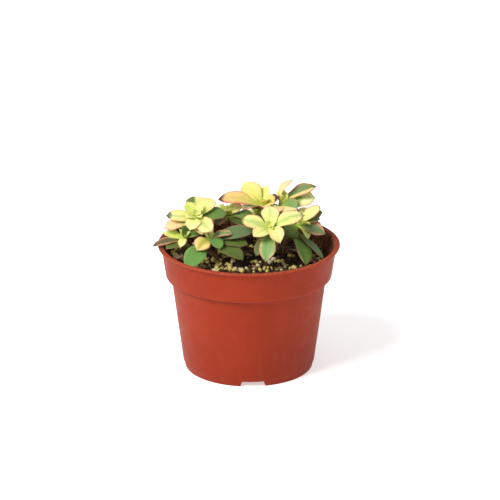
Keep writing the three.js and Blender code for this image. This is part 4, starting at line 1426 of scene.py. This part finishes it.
def hair_finish():
    """Hairs of their leaf's own pale colour, bleached where the noise is high."""
    made, tree, shader, where = new_material("edge_hair")
    drift = use(tree, MOTTLING, where, Scale=300.0, Low=0.1, High=0.6)
    colour = mixed(tree, drift, painted(tree, "pale")["Color"], HAIR_BLEACHED)
    feed(tree, shader, {"Base Color": colour, "Roughness": 0.6})
    return made


LEAF_FINISH = leaf_finish()
HAIR_FINISH = hair_finish()
print("leaf nodes:", len(LEAF_FINISH.node_tree.nodes))

# %% [markdown]
# A rosette grows from the middle: the youngest leaves stand almost upright round the growing point, each
# turned from the last by the golden angle of 137.5 degrees, so that none shades another. The model has a
# few of them; here a tight bud of smaller ones closes the middle.

# %% Rosette pieces
GOLDEN_ANGLE = math.radians(137.5)
CORE_TOP = 2.0
CORE_BELOW_LEAVES = 2.5
CORE_SIDES = 16
CORE_PALE = (188, 196, 104)
CORE_GREEN = (120, 150, 72)
BUD_LEAVES = 6
# Length, width and lift in degrees, each as the first leaf's and what the next one adds, and the cup.
YOUNG_SIZES = ((8, 1.3), (5, 0.5), (66, -8), 0.3)
BUD_SIZES = ((4.2, 0.45), (2.6, 0.3), (84, -3), 0.5)


def axis_of(rosette):
    """The direction that the rosette faces: up, leaning by its lean towards its turn from +X."""
    tilt = math.radians(rosette["lean"])
    turn = math.radians(rosette["towards"])
    return np.array([math.sin(tilt) * math.cos(turn), math.sin(tilt) * math.sin(turn), math.cos(tilt)])


def turned_to(axis, direction):
    """The direction turned as +Z is turned to the axis, by the shortest way."""
    up = np.array([0.0, 0.0, 1.0])
    hinge = np.cross(up, axis)
    c = float(axis[2])
    return direction * c + np.cross(hinge, direction) + hinge * (hinge @ direction) / (1 + c)


def young_leaf(rosette, axis, place, order, sizes):
    """A leaf of the middle, turned by the golden angle times its place, with the sizes of its order."""
    length, width, lift = (first + added * order for first, added in sizes[:3])
    turn = math.radians(rosette["phase"]) + GOLDEN_ANGLE * place
    flat = math.cos(math.radians(lift))
    upright = math.sin(math.radians(lift))
    direction = turned_to(axis, np.array([flat * math.cos(turn), flat * math.sin(turn), upright]))
    tip = np.array(rosette["centre"], float) + direction * length
    return (*tip, width, 0.02, sizes[3], 0, 0.5, "young")


def middle_leaves(rosette, axis):
    """The young leaves, longer and flatter outwards, and a bud of smaller ones that close the middle."""
    young = [young_leaf(rosette, axis, order, order, YOUNG_SIZES) for order in range(rosette["inner"])]
    bud = [young_leaf(rosette, axis, -1 - order, order, BUD_SIZES) for order in range(BUD_LEAVES)]
    return young + bud


def core_depth(rosette):
    """How far the core reaches below the centre: past its lowest leaf root."""
    return max(leaf[7] for leaf in rosette["leaves"]) + CORE_BELOW_LEAVES


def core_shape(rosette, axis):
    """The green core: rings along the axis whose radius grows towards the bottom, with leaf-base ridges."""
    depth = core_depth(rosette)
    level = np.linspace(CORE_TOP - 0.6, -depth - 0.8, 14)[:, None]
    turn = turns(CORE_SIDES)
    share = (CORE_TOP - level) / (CORE_TOP + depth)
    radius = rosette["core"] * (0.55 + 0.27 * share) * (1 + 0.06 * np.sin(5 * turn + 2.2 * level))
    line = np.array(rosette["centre"], float) + level * axis
    first = turned_to(axis, np.array([1.0, 0, 0]))
    second = turned_to(axis, np.array([0, 1.0, 0]))
    every = np.ones((*radius.shape, 1))
    return tube(
        carried(line, radius, turn, first, second),
        pale=every * light(CORE_PALE), green=every * light(CORE_GREEN),
        marks=every * np.array([0.3, 0.0, 0.0, 0.5]), under=every * 0, uv=every * np.array([0.5, 0.12]),
    )


def rosette_shape(rosette):
    """All of a rosette in one shape, and for each face whether it is leaf (0) or hair (1)."""
    rng = np.random.default_rng(sum(map(ord, rosette["name"])))
    axis = axis_of(rosette)
    centre = np.array(rosette["centre"], float)
    blades = [core_shape(rosette, axis)]
    hairs = []
    for leaf in [*rosette["leaves"], *middle_leaves(rosette, axis)]:
        shape, setting, wander = leaf_shape(centre, axis, leaf, rng)
        blades.append(shape)
        hairs.append(edge_hairs(setting, wander, light(COLOURINGS[leaf[8]][0]), rng))
    leafy = joined(blades)
    hairy = joined(hairs)
    leaf_faces = len(leafy["quads"]) + len(leafy["tris"])
    return joined([leafy, hairy]), np.repeat([0, 1], [leaf_faces, len(hairy["tris"])])


for rosette in ROSETTES:
    shape, face_material = rosette_shape(rosette)
    name = rosette["name"]
    finishes = [LEAF_FINISH, HAIR_FINISH]
    as_piece("leaves_" + name, shape, finishes, ["rosette_" + name], face_material)

# %% [markdown]
# Old leaves fall and leave a scar, so the stem of an aeonium is brown, knobbly and ringed. A plain tube
# would look like a twig. Here a tube follows the model's own line, straight out of the bed and then bending
# to the rosette, and its radius swells at each scar, which sit round it at the same golden angle as the
# leaves did.

# %% Stems
STEM_DEPTH = 14.0
STEM_SIDES = 18
STEM_TO_CORE = 0.7
SCAR_STEP = 0.95
SCAR_HEIGHT = 0.28
SCAR_REACH = 0.75
BARK_DARK = screen(88, 62, 42)
BARK_LIGHT = screen(128, 96, 66)
SCAR_PALE = screen(168, 138, 104)
YOUNG_STEM = screen(140, 146, 84)
BARK_CRACK = screen(54, 38, 28)


def stem_line(rosette, steps=46):
    """Points from under the bed's top to just inside the core: a short upright, then a cubic curve.

    The curve is (1-t)^3 A + 3t(1-t)^2 B + 3t^2(1-t) C + t^3 D. B is straight above A, and C is straight
    below D along the rosette's axis, both two fifths of the distance from A to D away.
    """
    axis = axis_of(rosette)
    x, y = rosette["foot"]
    collar = np.array([x, y, SOIL_LEVEL + SOIL_MOUND])
    top = np.array(rosette["centre"], float) - axis * (core_depth(rosette) + 0.3)
    stretch = np.linalg.norm(top - collar) / 2.5
    above = collar + np.array([0, 0, stretch])
    below = top - axis * stretch
    t = np.linspace(0, 1, steps)[:, None]
    curve = (1 - t) ** 3 * collar + 3 * t * (1 - t) ** 2 * above + 3 * t**2 * (1 - t) * below + t**3 * top
    upright = np.linspace(collar - np.array([0, 0, STEM_DEPTH / 2]), collar, 8, endpoint=False)
    return np.concatenate([upright, curve, [top + axis * 1.2]])


def stem_shape(rosette):
    """A tube along the stem's line. The radius swells at scars, and the tube flares a little to the core.

    A scar's swelling is e to the power of less the sum of two squares, one of the distance along the stem
    and one of the angle round it.
    """
    line = stem_line(rosette)
    ahead = unit(np.gradient(line, axis=0))
    first = unit(np.cross(ahead, np.array([0.0, 1.0, 0.0])))
    run = np.concatenate([[0], np.cumsum(np.linalg.norm(np.diff(line, axis=0), axis=1))])[:, None]
    turn = turns(STEM_SIDES)
    scar = np.arange(int(run[-1, 0] / SCAR_STEP) + 1)
    up = (run[..., None] - scar * SCAR_STEP) / SCAR_REACH
    off = (turn[..., None] - scar * GOLDEN_ANGLE + np.pi) % (2 * np.pi) - np.pi
    swell = SCAR_HEIGHT * np.exp(-(up**2) - (off / SCAR_REACH) ** 2).sum(-1)
    flare = 1 + 0.14 * smooth((run - run[-1] + 6) / 6) - 0.06
    radius = STEM_TO_CORE * rosette["core"] * flare + swell - 0.1
    rings = carried(line, radius, turn, first[:, None], np.cross(ahead, first)[:, None])
    scarred = np.clip(swell / SCAR_HEIGHT, 0, 1)
    young = smooth((run - run[-1] + 9) / 9) * np.ones_like(turn)
    return tube(rings, line[0], line[-1], stem_marks=np.stack([scarred, young, 0 * scarred], -1))


def stem_finish():
    """Brown bark with pale scars, green near the rosette, cracked by noise stretched up the stem."""
    made, tree, shader, where = new_material("stem_bark")
    marks = channels(tree, "stem_marks")
    colour = mixed(tree, use(tree, MOTTLING, where, Scale=320.0), BARK_DARK, BARK_LIGHT)
    colour = mixed(tree, span(tree, marks["Red"], 0.35, 0.95, 0.0, 0.8), colour, SCAR_PALE)
    colour = mixed(tree, span(tree, marks["Green"], 0.2, 1.0, 0.0, 0.7), colour, YOUNG_STEM)
    cracks = noise(tree, stretched(tree, where, 1, 1, 0.25), 1500.0, detail=4.0, roughness=0.7)
    feed(tree, shader, {
        "Base Color": mixed(tree, span(tree, cracks, 0.52, 0.66, 0.0, 0.6), colour, BARK_CRACK),
        "Roughness": 0.82,
        "Normal": bump(tree, cracks, strength=0.8, distance=0.0003),
    })
    return made


STEM_FINISH = stem_finish()
for rosette in ROSETTES:
    name = rosette["name"]
    as_piece("bark_stem_" + name, stem_shape(rosette), [STEM_FINISH], ["stem_" + name])
